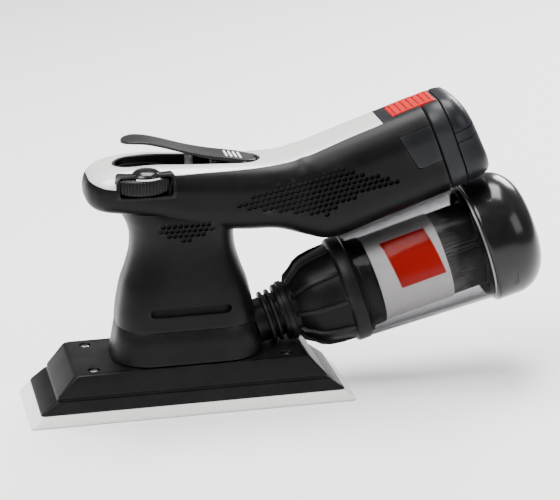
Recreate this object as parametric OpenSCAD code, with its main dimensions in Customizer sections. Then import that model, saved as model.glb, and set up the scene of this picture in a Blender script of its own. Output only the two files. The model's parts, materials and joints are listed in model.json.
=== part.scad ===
// Cordless orbital finishing sander with a long plate, a battery in the
// raised handle and a filter canister behind the motor.
// Millimetres. X runs from the nose to the battery, Z is up, and the
// origin is the middle of the sanding face.

/* [Sanding plate] */
// Length of the sanding face
plate_len = 198; // [170:1:240]
// Width of the sanding face
plate_w = 70; // [66:1:90]
// Thickness of the soft interface pad
pad_h = 7.2; // [4:0.1:12]
// Thickness of the backing plate
backing_h = 9.6; // [8:0.1:12]
// Height of the plate cover above the backing plate
cover_h = 13.8; // [12:0.1:18]
// Set-back of the sloping ends at the top of pad, backing plate and cover
end_slope = [6.4, 10.4, 11.4];
// Set-back of the long sides at the same heights
side_slope = [1.9, 1.1, 0.5];
// Diameter of the dust holes
dust_hole_d = 8; // [5:0.5:9]
// Radius of the orbit
orbit_r = 1.5; // [1:0.1:2]

/* [Motor] */
// Diameter of the motor shaft
shaft_d = 8; // [6:0.5:9]
// Outer diameter of the stator
stator_d = 47; // [40:0.5:48]
// Length of the stator stack
stator_h = 24; // [18:1:26]
// Air gap between rotor and stator
air_gap = 0.5; // [0.3:0.1:1]
// Diameter of the extraction fan
fan_d = 46; // [36:1:48]

/* [Housing] */
// Length of the collar at its foot
collar_len = 92; // [84:1:100]
// Width of the collar at its foot
collar_w = 61; // [59:1:66]
// Wall of every moulded shell
wall = 2.4; // [1.8:0.1:3]
// Width of the grip
grip_w = 55; // [52:1:62]
// Tilt of the battery end of the handle
handle_tilt = 18.5; // [14:0.5:22]
// Width of the top cover's lever opening
lever_open_w = 25; // [23:0.5:26]

/* [Controls] */
// Diameter of the speed dial
dial_d = 40; // [36:1:40]
// Thickness of the speed dial
dial_h = 9.6; // [8:0.2:9.6]
// Thickness of the paddle lever
lever_t = 2.8; // [2:0.1:3.5]
// Diameter of the lever's pivot pin
lever_pin_d = 4; // [3:0.5:5]

/* [Battery] */
// Length of the battery block behind the handle
battery_block = 26; // [25:0.5:36]
// Diameter of one cell
cell_d = 18.4; // [18:0.1:19]
// Length of one cell
cell_len = 62; // [55:0.5:65]

/* [Dust canister] */
// How much less the canister is tilted than the battery end
can_lean = 2.5; // [0.5:0.5:6.5]
// Radius of the clear container at its mouth
can_r = 32.5; // [28:0.5:34]
// How much wider the container is at its far end
can_flare = 4; // [0:0.5:4]
// Length of the clear container
can_len = 80; // [60:1:90]
// Length of the rounded end cap behind the container
cap_len = 35; // [28:1:42]
// Number of pleats in the filter
pleats = 36; // [20:1:44]

/* [Hidden] */
$fn = 64;
slack = 0.2;        // assembly gap between moulded pieces
run = 0.04;         // radial clearance of a running shaft
seat = 0.01;        // radial clearance of a pressed ring
skin = 0.4;         // thickness of a loft's slice
slice_fn = 24;

// Heights of the plate stack.
z_backing = pad_h;
z_cover = pad_h + backing_h;
z_top = z_cover + cover_h;
plate_half = [for (k = 0, a = plate_len / 2; k < 4; a = a - (k < 3 ? end_slope[k] : 0), k = k + 1) a];
plate_side = [for (k = 0, b = plate_w / 2; k < 4; b = b - (k < 3 ? side_slope[k] : 0), k = k + 1) b];
plate_corner = 2.5;
cover_wall = 3;
hub_r = 17;
screw_at = [plate_half[3] - 12, plate_side[3] - 9];
screw_head_r = 3.2;
screw_core_r = 1.6;
screw_pilot_r = screw_core_r + seat;
screw_deep = 16;
dust_hole_at = [24, 50, 76];

// Collar.
lift = 0.6;                     // gap between the orbiting cover and the collar
z_collar = z_top + lift;
collar_h = 20.8;
z_body = z_collar + collar_h;   // seam between collar and body
collar_top_len = collar_len - 8;
collar_top_w = collar_w - 2.5;
collar_r = 24;
z_grip = z_body + 76;           // height of the handle's bend

// Orbit drive, from the bottom up.
orbit_bearing = [26, 10, 8];    // outer, bore, width
main_bearing = [28, 12, 8];
top_bearing = [22, shaft_d, 7];
z_orbit_bearing = z_cover + 2.4;
z_weight = z_orbit_bearing + orbit_bearing[2] + 1;
weight_h = 5;
z_fan = z_weight + weight_h + 0.4;
fan_h = 8;
z_mount = z_fan + fan_h + 1.6;  // underside of the lower bearing bracket
mount_h = main_bearing[2] + 2.4;
z_stator = z_mount + mount_h + 6;
z_top_bracket = z_stator + stator_h + 6;
top_bracket_h = top_bearing[2] + 2;
rotor_d = 27;
cover_mouth_r = 23;             // opening over the counterweight
leg_at = [33, 16];
leg_r = 4.5;
leg_play = orbit_r + 0.6;
leg_sink = 4;

// Body between collar and handle: height, half length, half width.
body_rows = [
    [z_body + slack, collar_top_len / 2, collar_top_w / 2],
    [z_body + 12, collar_top_len / 2 - 1.4, collar_top_w / 2 - 0.4],
    [z_body + 24, collar_top_len / 2 - 4, collar_top_w / 2 - 1],
    [z_body + 34, collar_top_len / 2 - 7.5, collar_top_w / 2 - 2],
    [z_body + 44, collar_top_len / 2 - 10.2, collar_top_w / 2 - 3],
    [z_body + 53, collar_top_len / 2 - 11, collar_top_w / 2 - 3.5],
    [z_body + 60, collar_top_len / 2 - 9.6, collar_top_w / 2 - 3.2],
    [z_body + 66, collar_top_len / 2 - 7, collar_top_w / 2 - 3],
    [z_body + 71, collar_top_len / 2 - 4, collar_top_w / 2 - 4],
];
body_corner = 23;

// Handle: x, z, tilt, width, height, corner radius of each slice.
bend = [70, z_grip];            // where the battery end starts to rise
function tilted(t, p) = [
    bend[0] + t * cos(handle_tilt) - p * sin(handle_tilt),
    bend[1] + t * sin(handle_tilt) + p * cos(handle_tilt),
];
low = -35.3;                    // underside of the battery end, across its axis
high = 21.7;                    // its top
t_shell = 86.5;                 // where the handle shells end
t_block = 88;                   // where the battery block starts
mid_p = (low + high) / 2;
function raised(t, w, h, r) = concat(tilted(t, mid_p), [handle_tilt, w, h, r]);
handle_rows = [
    [-57.4, z_grip + 10.4, 0, grip_w - 33, 9, 4.4],
    [-55.6, z_grip + 10.3, 0, grip_w - 23, 16, 7.8],
    [-52.0, z_grip + 10.0, 0, grip_w - 14, 21.5, 10],
    [-46.0, z_grip + 9.6, 0, grip_w - 6, 25.6, 11],
    [-36.0, z_grip + 9.4, 0, grip_w, 29.4, 12],
    [-18.0, z_grip + 7.6, 0, grip_w + 2, 33.6, 13],
    [4.0, z_grip + 3.4, 0, grip_w + 1, 38.8, 14],
    [34.0, z_grip + 0.8, 0, grip_w, 40.8, 15],
    [56.0, z_grip, 0, grip_w, 41.6, 15],
    [69.5, z_grip - 2, handle_tilt * 0.45, grip_w, 49.0, 16],
    [78.2, z_grip - 2.8, handle_tilt * 0.76, grip_w + 1, 55.4, 17],
    raised(15, grip_w + 1.4, high - low - 0.8, 18),
    raised(t_shell, grip_w + 2, high - low, 18),
];

// Seam of the top cover, a line below the crest.
seam_x = [-70, -56, -44, -30, 0, 40, 60];
seam_up = [22, 15.5, 15, 17.5, 19.2, 17.4, 17.6];   // above the bend
seam_p = high - 1.3;

// Dial, in the near side of the nose.
dial_at = [-25, -(grip_w + 2) / 2 - 4.5 + dial_d / 2];
z_dial = z_grip + 19.6 - dial_h;
dial_axle_r = 2.5;
dial_window = [dial_d - 1.2, z_dial - 0.7, dial_h + 1.4];
dial_inner = lever_open_w / 2 + 1.7;   // where the dial's opening ends, towards the middle
bezel_rim = 2.33;

// Lever recess and lever.
recess_x = [-40, 49];
z_tray_front = z_dial + dial_h + 0.5;
z_tray_rear = z_grip + 13.5;
tray_floor = 1.5;
lever_w = lever_open_w - 2.4;
pivot = [38, z_grip + 19.2];
lever_line = [[-34.6, 36.2], [-33.2, 38.2], [-27, 39], [-19, 38.2], [-10, 35.9], [0, 32.3],
    [8, 29.4], [18, 27], [28, 25.2], [38, 23.4], [44, 21.6], [47, 18.6]];   // above the bend
lever_top = [for (p = lever_line) [p[0], z_grip + p[1]]];
plunger_at = 6;
plunger_r = 2.5;
z_plunger = z_grip + 25.2;

// Battery end, along the raised axis.
t_battery = 46;
block_w = grip_w + 2;
inner_w = 2 * cell_d + 8;
inner_h = 2 * cell_d + 8;
tab_t = [66.5, t_block];
tab_p = [-10, 12.6];
tongue_t = 62;
tongue_w = 27;
release_t = [69, 97];
release_w = 22;

// Dust canister, along its own axis from the spout's end.
can_tilt = handle_tilt - can_lean;
can_at = [57, z_top + 17.4];
spout_r = 13.5;
neck_r = 17.8;
s_neck = 2;
s_mouth = 51;
s_far = s_mouth + can_len;
far_r = can_r + can_flare;
cap_r = far_r + 2.4;
can_wall = 2;
filter_r = can_r - 7;
s_filter = s_mouth + 12;
filter_len = can_len - 14;

// ---------- shared shapes ----------

module rounded(w, h, r) {
    offset(r) square([w - 2 * r, h - 2 * r], center = true);
}

// A block that narrows from level k of the plate to level k + 1.
module plate_tier(k, h) {
    linear_extrude(h, scale = [plate_half[k + 1] / plate_half[k], plate_side[k + 1] / plate_side[k]])
        square([2 * plate_half[k], 2 * plate_side[k]], center = true);
}

module ring(r_out, r_in, h) {
    difference() {
        cylinder(r = r_out, h = h);
        translate([0, 0, -1]) cylinder(r = r_in, h = h + 2);
    }
}

module four(at) {
    for (sx = [-1, 1], sy = [-1, 1]) translate([sx * at[0], sy * at[1], 0]) children();
}

module dust_holes(z, h) {
    for (x = dust_hole_at, s = [-1, 1], y = [-1, 1])
        translate([s * x, y * plate_side[3] * 0.62, z]) cylinder(d = dust_hole_d, h = h);
}

// Ball bearing seen as one ring with its shield set in.
module bearing(size) {
    difference() {
        cylinder(d = size[0], h = size[2]);
        translate([0, 0, -1]) cylinder(d = size[1] + 2 * run, h = size[2] + 2);
        for (z = [-1, size[2] - 0.6]) translate([0, 0, z])
            ring(size[0] / 2 - 2, size[1] / 2 + 2, 1.6);
    }
}

// Slices of a loft along the handle, grown by g.
module handle_slice(row, g) {
    translate([row[0], 0, row[1]]) rotate([0, -row[2], 0]) rotate([90, 0, 90])
        linear_extrude(skin) offset(row[5] + g, $fn = slice_fn)
            square([row[3] - 2 * row[5], row[4] - 2 * row[5]], center = true);
}

// The handle, or with g below zero the hollow inside it, open at the battery end.
module handle_solid(g = 0) {
    first = handle_rows[1];
    rows = g >= 0 ? handle_rows : concat([[first[0] + 1.3, first[1], 0, first[3], first[4], first[5]]],
        [for (i = [2 : len(handle_rows) - 2]) handle_rows[i]],
        [raised(t_shell + 3, grip_w + 2, high - low, 18)]);
    for (i = [0 : len(rows) - 2]) hull() {
        handle_slice(rows[i], g);
        handle_slice(rows[i + 1], g);
    }
}

module body_slice(row, g) {
    r = min(body_corner, row[2] - 1);
    translate([0, 0, row[0]]) linear_extrude(skin) offset(r + g, $fn = slice_fn)
        square([2 * (row[1] - r), 2 * (row[2] - r)], center = true);
}

module body_solid(g = 0) {
    last = len(body_rows) - 1;
    rows = g >= 0 ? body_rows : [for (i = [0 : last]) let (r = body_rows[i])
        [r[0] + (i == 0 ? -1.5 : i == last ? 1.7 : 0), r[1], r[2]]];
    for (i = [0 : last - 1]) hull() {
        body_slice(rows[i], g);
        body_slice(rows[i + 1], g);
    }
}

module housing_skin() {
    difference() {
        union() { handle_solid(); body_solid(); }
        handle_solid(-wall);
        body_solid(-wall);
    }
}

// Everything above the top cover's seam, lowered by d.
module above_seam(d = 0) {
    far = tilted(140, seam_p);
    turn = tilted(0, seam_p);
    top = z_grip + 92;
    rotate([90, 0, 0]) linear_extrude(120, center = true) polygon(concat(
        [for (i = [0 : len(seam_x) - 1]) [seam_x[i], z_grip + seam_up[i] - d]],
        [[turn[0], turn[1] - d], [far[0], far[1] - d], [far[0], top], [seam_x[0], top]]));
}

module on_handle(t = 0) {
    at = tilted(t, 0);
    translate([at[0], 0, at[1]]) rotate([0, -handle_tilt, 0]) children();
}

module on_can(s = 0) {
    translate([can_at[0], 0, can_at[1]]) rotate([0, 90 - can_tilt, 0]) translate([0, 0, s]) children();
}

module stadium(x0, x1, w) {
    hull() for (x = [x0 + w / 2, x1 - w / 2]) translate([x, 0]) circle(d = w);
}

// ---------- sanding plate, which orbits ----------

module interface_pad() {
    color("whitesmoke") difference() {
        plate_tier(0, pad_h);
        dust_holes(-1, pad_h + 2);
    }
}

module backing_plate() {
    color("dimgray") difference() {
        translate([0, 0, z_backing]) plate_tier(1, backing_h);
        dust_holes(z_backing - 1, backing_h + 2);
        four(screw_at) translate([0, 0, z_backing + 2]) cylinder(r = screw_pilot_r, h = backing_h);
        translate([orbit_r, 0, z_cover - 2.4]) cylinder(r = orbit_bearing[0] / 2 - 2, h = 4);
    }
}

module plate_cover() {
    inner = cover_h - cover_wall;
    color("dimgray") difference() {
        translate([0, 0, z_cover]) plate_tier(2, cover_h);
        difference() {
            translate([0, 0, z_cover - 1]) linear_extrude(inner + 1)
                square([2 * (plate_half[3] - cover_wall), 2 * (plate_side[3] - cover_wall)], center = true);
            translate([orbit_r, 0, z_cover - 2]) cylinder(r = hub_r, h = inner + 4);
            four(screw_at) translate([0, 0, z_cover - 2]) cylinder(r = 5, h = inner + 4);
        }
        // what faces the eccentric is centred on its pin, as it stands at rest
        translate([orbit_r, 0, 0]) {
            translate([0, 0, z_cover - 1]) cylinder(r = orbit_bearing[0] / 2 - 2, h = cover_h + 2);
            translate([0, 0, z_orbit_bearing]) cylinder(d = orbit_bearing[0] + 2 * seat, h = cover_h);
            translate([0, 0, z_orbit_bearing + orbit_bearing[2]]) cylinder(r = cover_mouth_r, h = cover_h);
            four(leg_at) translate([0, 0, z_cover + inner - 2]) cylinder(r = leg_r + leg_play, h = cover_h);
        }
        four(screw_at) translate([0, 0, z_cover - 1]) cylinder(r = screw_core_r + slack, h = cover_h + 2);
        four(screw_at) translate([0, 0, z_top - 2.6]) cylinder(r = screw_head_r + slack, h = 4);
        // room for the adapter on a longer plate, as far as the orbit takes it
        for (dx = [-orbit_r, orbit_r]) translate([dx, 0, 0]) on_can() rotate_extrude()
            polygon(concat([[0, s_neck - lift]], adapter_outline(lift), [[0, s_mouth]]));
    }
}

module cover_screws() {
    color("silver") four(screw_at) difference() {
        union() {
            translate([0, 0, z_top - 2.6]) cylinder(r = screw_head_r, h = 2.2);
            translate([0, 0, z_top - 2.6 - screw_deep]) cylinder(r = screw_core_r, h = screw_deep);
        }
        translate([0, 0, z_top - 1.8]) cylinder(r = 1.5, h = 3, $fn = 6);
    }
}

module orbit_bearing() {
    color("lightgray") translate([orbit_r, 0, z_orbit_bearing]) bearing(orbit_bearing);
}

module plate_washer() {
    color("silver") translate([orbit_r, 0, z_orbit_bearing + orbit_bearing[2] + 0.1])
        ring(orbit_bearing[0] / 2 + 2.5, orbit_bearing[0] / 2 - 1.5, 0.6);
}

// ---------- rotor ----------

module motor_shaft() {
    color("silver") {
        translate([0, 0, z_weight + 1]) cylinder(d = main_bearing[1], h = z_mount + mount_h - z_weight + 1);
        translate([0, 0, z_mount + mount_h + 1])
            cylinder(d = shaft_d, h = z_top_bracket + top_bracket_h - z_mount - mount_h);
        translate([orbit_r, 0, z_weight - 1]) cylinder(d = main_bearing[1] + 2, h = 2);
        difference() {
            translate([orbit_r, 0, z_orbit_bearing])
                cylinder(d = orbit_bearing[1], h = z_weight - z_orbit_bearing);
            translate([orbit_r, 0, z_orbit_bearing - 1]) cylinder(r = 2 + seat, h = 7);
        }
    }
}

module rotor_core() {
    color("slategray") difference() {
        translate([0, 0, z_stator]) cylinder(d = rotor_d, h = stator_h);
        translate([0, 0, z_stator - 1]) cylinder(d = shaft_d + 2 * seat, h = stator_h + 2);
        for (a = [0 : 60 : 300]) rotate(a) translate([rotor_d / 2 - 3.4, 0, z_stator - 1])
            cylinder(r = 1.6, h = stator_h + 2);
    }
}

module counterweight() {
    color("darkgray") difference() {
        translate([0, 0, z_weight + 1.2]) union() {
            cylinder(r = 11, h = weight_h - 1.2);
            intersection() {
                cylinder(r = cover_mouth_r - 2.5, h = weight_h - 1.2);
                translate([-30, -30, 0]) cube([30, 60, weight_h]);
            }
        }
        translate([0, 0, z_weight]) cylinder(d = main_bearing[1] + 2 * seat, h = weight_h + 2);
    }
}

module extraction_fan() {
    blades = 9;
    color("gainsboro") difference() {
        union() {
            translate([0, 0, z_fan + fan_h - 1.6]) cylinder(d = fan_d, h = 1.6);
            translate([0, 0, z_fan]) cylinder(r = 10, h = fan_h);
            for (i = [0 : blades - 1]) rotate(i * 360 / blades) translate([9, -0.6, z_fan])
                cube([fan_d / 2 - 10, 1.2, fan_h - 1]);
        }
        translate([0, 0, z_fan - 1]) cylinder(d = main_bearing[1] + 2 * seat, h = fan_h + 2);
    }
}

module retaining_screw() {
    color("silver") translate([orbit_r, 0, z_orbit_bearing]) {
        cylinder(r = 2, h = 5);
        translate([0, 0, -1.8]) cylinder(r = 6.5, h = 1.7);
    }
}

// ---------- collar and motor mounts ----------

module collar_block(g, z0, z1) {
    k0 = (z0 - z_collar) / collar_h;
    k1 = (z1 - z_collar) / collar_h;
    r = collar_r + g;
    l0 = collar_len + (collar_top_len - collar_len) * k0;
    l1 = collar_len + (collar_top_len - collar_len) * k1;
    w0 = collar_w + (collar_top_w - collar_w) * k0;
    w1 = collar_w + (collar_top_w - collar_w) * k1;
    hull() {
        translate([0, 0, z0]) linear_extrude(skin) rounded(l0 + 2 * g, w0 + 2 * g, r, $fn = slice_fn);
        translate([0, 0, z1 - skin]) linear_extrude(skin) rounded(l1 + 2 * g, w1 + 2 * g, r, $fn = slice_fn);
    }
}

module collar() {
    color("dimgray") difference() {
        collar_block(0, z_collar, z_body);
        collar_block(-wall, z_collar - 1, z_body + 1);
        on_can(-22) cylinder(r = spout_r + slack, h = 18);
    }
}

module skirt_seal() {
    color("black") difference() {
        translate([0, 0, z_collar - 0.3]) linear_extrude(2.6)
            rounded(collar_len - 2 * wall - 1.4, collar_w - 2 * wall - 1.4, collar_r - wall - 0.7, $fn = slice_fn);
        translate([0, 0, z_collar - 1]) linear_extrude(6)
            rounded(collar_len - 2 * wall - 4.2, collar_w - 2 * wall - 4.2, collar_r - wall - 2.1, $fn = slice_fn);
    }
}

module lower_bearing_bracket() {
    reach = [collar_top_len - 2 * wall - 2, collar_top_w - 2 * wall - 2];
    color("gray") difference() {
        union() {
            translate([0, 0, z_mount]) linear_extrude(3) difference() {
                rounded(reach[0], reach[1], collar_r - wall - 3, $fn = slice_fn);
                circle(r = 16);
            }
            translate([0, 0, z_mount]) cylinder(d = main_bearing[0] + 6, h = mount_h);
        }
        translate([0, 0, z_mount - 1]) cylinder(d = main_bearing[0] - 4, h = mount_h + 2);
        translate([0, 0, z_mount + 1.2]) cylinder(d = main_bearing[0] + 2 * seat, h = mount_h);
        four(leg_at) translate([0, 0, z_mount - 1]) cylinder(r = leg_r - 1.5 + seat, h = 6);
        on_can(-26) cylinder(r = spout_r + 1, h = 20);
        for (a = [45 : 90 : 315]) rotate(a) translate([20, 0, z_mount - 1]) cylinder(r = 2.2, h = 6);
    }
}

module main_bearing() {
    color("lightgray") translate([0, 0, z_mount + 1.2]) bearing(main_bearing);
}

module support_legs() {
    color("black") four(leg_at) {
        difference() {
            translate([0, 0, z_top - leg_sink]) cylinder(r = leg_r, h = z_mount - z_top + leg_sink);
            for (z = [z_top + 1 : 4 : z_mount - 3]) translate([0, 0, z]) ring(leg_r + 1, leg_r - 0.8, 1.6);
        }
        translate([0, 0, z_mount]) cylinder(r = leg_r - 1.5, h = 2.6);
    }
}

module stator() {
    slots = 9;
    color("slategray") difference() {
        translate([0, 0, z_stator]) cylinder(d = stator_d, h = stator_h);
        translate([0, 0, z_stator - 1]) cylinder(d = rotor_d + 2 * air_gap, h = stator_h + 2);
        for (i = [0 : slots - 1]) rotate(i * 360 / slots)
            translate([(rotor_d + stator_d) / 4 - 1, 0, z_stator - 1]) cylinder(r = 2.9, h = stator_h + 2);
    }
}

module stator_windings() {
    slots = 9;
    color("orange") for (i = [0 : slots - 1]) rotate(i * 360 / slots)
        translate([(rotor_d + stator_d) / 4 - 1, 0, z_stator - 2]) cylinder(r = 2.7, h = stator_h + 4);
}

module upper_bearing_bracket() {
    reach = 2 * (body_rows[5][2] - wall) - 3;
    color("gray") difference() {
        translate([0, 0, z_top_bracket]) union() {
            cylinder(d = top_bearing[0] + 5, h = top_bracket_h);
            linear_extrude(2.4) rounded(reach, reach, 12, $fn = slice_fn);
        }
        translate([0, 0, z_top_bracket - 1]) cylinder(d = top_bearing[0] - 4, h = 4);
        translate([0, 0, z_top_bracket + 1]) cylinder(d = top_bearing[0] + 2 * seat, h = top_bracket_h);
    }
}

module upper_bearing() {
    color("lightgray") translate([0, 0, z_top_bracket + 1]) bearing(top_bearing);
}

// ---------- housing ----------

module dial_region(g) {
    w = dial_window[0] / 2 + bezel_rim + g;
    translate([dial_at[0] - w, -60, dial_window[1] - bezel_rim - g])
        cube([2 * w, 60 - dial_inner, dial_window[2] + 2 * (bezel_rim + g)]);
}

module battery_room() {
    on_handle() {
        translate([tab_t[0] - slack, -60, tab_p[0] - slack])
            cube([60, 120, tab_p[1] - tab_p[0] + 2 * slack]);
        translate([tongue_t - slack, -tongue_w / 2 - slack, 8]) cube([60, tongue_w + 2 * slack, 40]);
    }
}

module lever_hole(g) {
    translate([0, 0, z_tray_rear - 3]) linear_extrude(60)
        stadium(recess_x[0] - g, recess_x[1] + g, lever_open_w + 2 * g);
}

module shell_half(side) {
    color("dimgray") difference() {
        housing_skin();
        above_seam();
        translate([-100, side > 0 ? -100 + slack / 2 : -slack / 2, 0]) cube([400, 100, 300]);
        if (side < 0) dial_region(slack);
        battery_room();
        // side slot low on the body
        translate([0, 0, z_body + 12]) rotate([90, 0, 0]) linear_extrude(120, center = true)
            hull() for (x = [-21, 22]) translate([x, 0]) circle(r = 2.8, $fn = 24);
        on_can(-30) cylinder(r = spout_r + slack, h = 26);
        // screw columns are reached from the far side
        if (side > 0) for (p = shell_screw_at) translate([p[0], 0, p[1]])
            rotate([-90, 0, 0]) cylinder(r = 2.6, h = 60);
    }
}

shell_screw_at = [
    [-46, z_grip + 3], [24, z_grip - 10], [56, z_grip - 12],
    [-30, z_body + 32], [30, z_body + 32],
];

module near_shell() { shell_half(-1); }
module far_shell() { shell_half(1); }

module shell_screws() {
    color("silver") for (p = shell_screw_at) translate([p[0], 0, p[1]]) rotate([-90, 0, 0]) {
        translate([0, 0, 4]) cylinder(r = 1.5, h = 12);
        translate([0, 0, 16]) cylinder(r = 2.4, h = 2);
    }
}

module top_cover() {
    color("gainsboro") difference() {
        intersection() {
            housing_skin();
            translate([0, 0, slack]) above_seam();
        }
        lever_hole(slack);
        dial_region(slack);
        on_handle() translate([tongue_t - slack, -60, -60]) cube([80, 120, 120]);
    }
}

// ---------- controls ----------

module at_pivot() {
    translate([pivot[0], 0, pivot[1]]) rotate([90, 0, 0]) children();
}

module lever_tray() {
    color("black") difference() {
        union() {
            translate([0, 0, z_tray_front]) linear_extrude(2.4)
                stadium(recess_x[0], recess_x[1], lever_open_w);
            translate([0, 0, z_tray_rear]) linear_extrude(z_tray_front - z_tray_rear + 0.5) intersection() {
                stadium(recess_x[0], recess_x[1], lever_open_w);
                translate([0, -30]) square([60, 60]);
            }
        }
        translate([0, 0, z_tray_front + tray_floor]) linear_extrude(20)
            stadium(recess_x[0] + 1.2, recess_x[1] - 1.2, lever_open_w - 2.4);
        translate([0, 0, z_tray_rear + tray_floor]) linear_extrude(20) intersection() {
            stadium(recess_x[0] + 1.2, recess_x[1] - 1.2, lever_open_w - 2.4);
            translate([1.5, -30]) square([60, 60]);
        }
        translate([plunger_at, 0, z_tray_rear - 1]) cylinder(r = plunger_r + slack, h = 10);
        at_pivot() cylinder(d = lever_pin_d + 2 * seat, h = 60, center = true);
    }
}

module lever_profile() {
    under = [for (i = [len(lever_top) - 2 : -1 : 1]) [lever_top[i][0], lever_top[i][1] - lever_t]];
    polygon(concat(lever_top, [[46, z_grip + 17.4]], under));
}

module paddle_lever() {
    half = lever_w / 2 - 1.2;
    color("dimgray") difference() {
        union() {
            intersection() {
                rotate([90, 0, 0]) linear_extrude(lever_w, center = true) lever_profile();
                linear_extrude(300) stadium(lever_top[0][0], lever_top[len(lever_top) - 1][0], lever_w);
            }
            at_pivot() cylinder(d = lever_pin_d + 3.2, h = 2 * half - 2, center = true);
            translate([plunger_at - 3, -4, z_plunger + 0.4]) cube([6, 8, 2.6]);
        }
        at_pivot() cylinder(d = lever_pin_d + 2 * run, h = 60, center = true);
    }
}

module lever_pin() {
    color("silver") at_pivot() cylinder(d = lever_pin_d, h = lever_open_w - 3, center = true);
}

module lever_spring() {
    turns = 3;
    color("silver") for (i = [0 : turns - 1]) translate([22, 0, z_tray_rear + tray_floor + 0.8 + i * 2.4])
        rotate_extrude() translate([3, 0]) circle(r = 0.5, $fn = 16);
}

module power_switch() {
    color("firebrick") difference() {
        translate([plunger_at - 7, -6, z_grip - 6]) cube([14, 12, 18]);
        translate([plunger_at, 0, z_grip - 4]) cylinder(r = plunger_r + slack, h = 30);
    }
}

module switch_plunger() {
    color("lightgray") translate([plunger_at, 0, z_grip + 2])
        cylinder(r = plunger_r, h = z_plunger - z_grip - 2);
}

module dial_bezel() {
    color("black") difference() {
        intersection() {
            difference() {
                handle_solid(0.9);
                handle_solid(-wall);
            }
            dial_region(0);
        }
        translate([dial_at[0] - dial_window[0] / 2, -60, dial_window[1]])
            cube([dial_window[0], 60, dial_window[2]]);
        translate([dial_at[0], dial_at[1], dial_window[1]])
            cylinder(d = dial_d + 2 * slack, h = dial_window[2], $fn = 96);
    }
}

module speed_dial() {
    ribs = 48;
    color("black") translate([dial_at[0], dial_at[1], z_dial]) difference() {
        cylinder(d = dial_d, h = dial_h, $fn = 96);
        translate([0, 0, -1]) cylinder(r = dial_axle_r + run, h = dial_h + 2);
        for (i = [0 : ribs - 1]) rotate(i * 360 / ribs) translate([dial_d / 2 + 0.25, 0, 1.2])
            cylinder(r = 0.75, h = dial_h - 2.4, $fn = 16);
    }
}

module dial_control() {
    color("seagreen") translate([dial_at[0], dial_at[1], z_dial]) {
        translate([0, 0, -3]) cylinder(r = dial_axle_r, h = dial_h + 2.5);
        translate([0, 0, -6]) cylinder(r = 7, h = 3);
    }
}

module control_board() {
    color("green") translate([18, -17, z_grip - 4]) {
        cube([44, 34, 1.6]);
        translate([6, 6, 1.6]) cube([12, 12, 3]);
        translate([24, 8, 1.6]) cube([8, 18, 6]);
        translate([36, 17, 1.6]) cylinder(r = 4, h = 10);
    }
}

module terminal_block() {
    color("black") on_handle() difference() {
        translate([t_battery - 14, -15, mid_p - 12]) cube([11, 30, 24]);
        for (y = [-10 : 5 : 10]) translate([t_battery - 8, y - 0.9, mid_p - 6]) cube([10, 1.8, 12]);
    }
}

// ---------- battery ----------

module block_outline(g) {
    translate([0, mid_p]) rounded(block_w + 2 * g, high - low - 2 + 2 * g, 17 + g, $fn = slice_fn);
}

module at_cells(t) {
    for (y = [-1, 1], p = [-1, 1])
        translate([t, y * cell_d / 2 * 1.03, mid_p + p * cell_d / 2 * 1.03]) rotate([0, 90, 0]) children();
}

module battery_case() {
    gap = 1.6;
    color("slategray") on_handle() difference() {
        union() {
            translate([t_battery, 0, mid_p]) rotate([90, 0, 90]) linear_extrude(t_block - t_battery + 1)
                rounded(inner_w, inner_h, 8);
            translate([t_block, 0, 0]) rotate([90, 0, 90]) linear_extrude(10) block_outline(0);
            intersection() {
                translate([tab_t[0], -block_w / 2 + 0.3, tab_p[0]])
                    cube([tab_t[1] - tab_t[0] + 1, block_w - 0.6, tab_p[1] - tab_p[0]]);
                translate([tab_t[0], 0, 0]) rotate([90, 0, 90]) linear_extrude(30) block_outline(0);
            }
            translate([tongue_t, -tongue_w / 2, high - 5]) cube([t_block - tongue_t + 1, tongue_w, 3.6]);
            translate([tongue_t, -tongue_w / 2 + 3, mid_p + inner_h / 2 - 1])
                cube([t_block - tongue_t + 1, tongue_w - 6, high - 4 - mid_p - inner_h / 2]);
        }
        at_cells(t_battery + gap) cylinder(d = cell_d + 0.4, h = 90);
        translate([release_t[0] - slack, -release_w / 2 - slack, high - 7.5])
            cube([40, release_w + 2 * slack, 30]);
    }
}

module battery_end_cover() {
    r = 15;
    color("slategray") on_handle() difference() {
        hull() {
            translate([t_block + 10 + slack, 0, 0]) rotate([90, 0, 90]) linear_extrude(skin) block_outline(0);
            translate([t_block + battery_block - 10, 0, 0]) rotate([90, 0, 90]) linear_extrude(skin)
                block_outline(-0.4);
            translate([t_block + battery_block - 3, 0, -2]) rotate([90, 0, 90]) linear_extrude(skin)
                translate([0, mid_p]) rounded(block_w - 8, high - low - 13, r, $fn = slice_fn);
            translate([t_block + battery_block, 0, -3]) rotate([90, 0, 90]) linear_extrude(skin)
                translate([0, mid_p]) rounded(block_w - 14, high - low - 20, r - 3, $fn = slice_fn);
        }
        at_cells(t_block) cylinder(d = cell_d + 0.4, h = t_battery + 2.6 + cell_len - t_block);
        translate([t_block, -release_w / 2 - slack, high - 7.5])
            cube([release_t[1] - t_block + slack, release_w + 2 * slack, 30]);
    }
}

module battery_cells() {
    color("steelblue") on_handle() at_cells(t_battery + 2) cylinder(d = cell_d, h = cell_len);
}

module battery_contacts() {
    color("gold") on_handle() for (y = [-10 : 5 : 10])
        translate([t_battery - 7, y - 0.5, mid_p - 5]) cube([6.9, 1, 10]);
}

module battery_release() {
    ribs = 6;
    color("red") on_handle() {
        translate([release_t[0], -release_w / 2, high - 4])
            cube([release_t[1] - release_t[0], release_w, 3.6]);
        for (i = [0 : ribs - 1]) translate([release_t[0] + 3 + i * 4.2, -release_w / 2 + 1, high - 0.5])
            cube([1.8, release_w - 2, 1.3]);
    }
}

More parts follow.
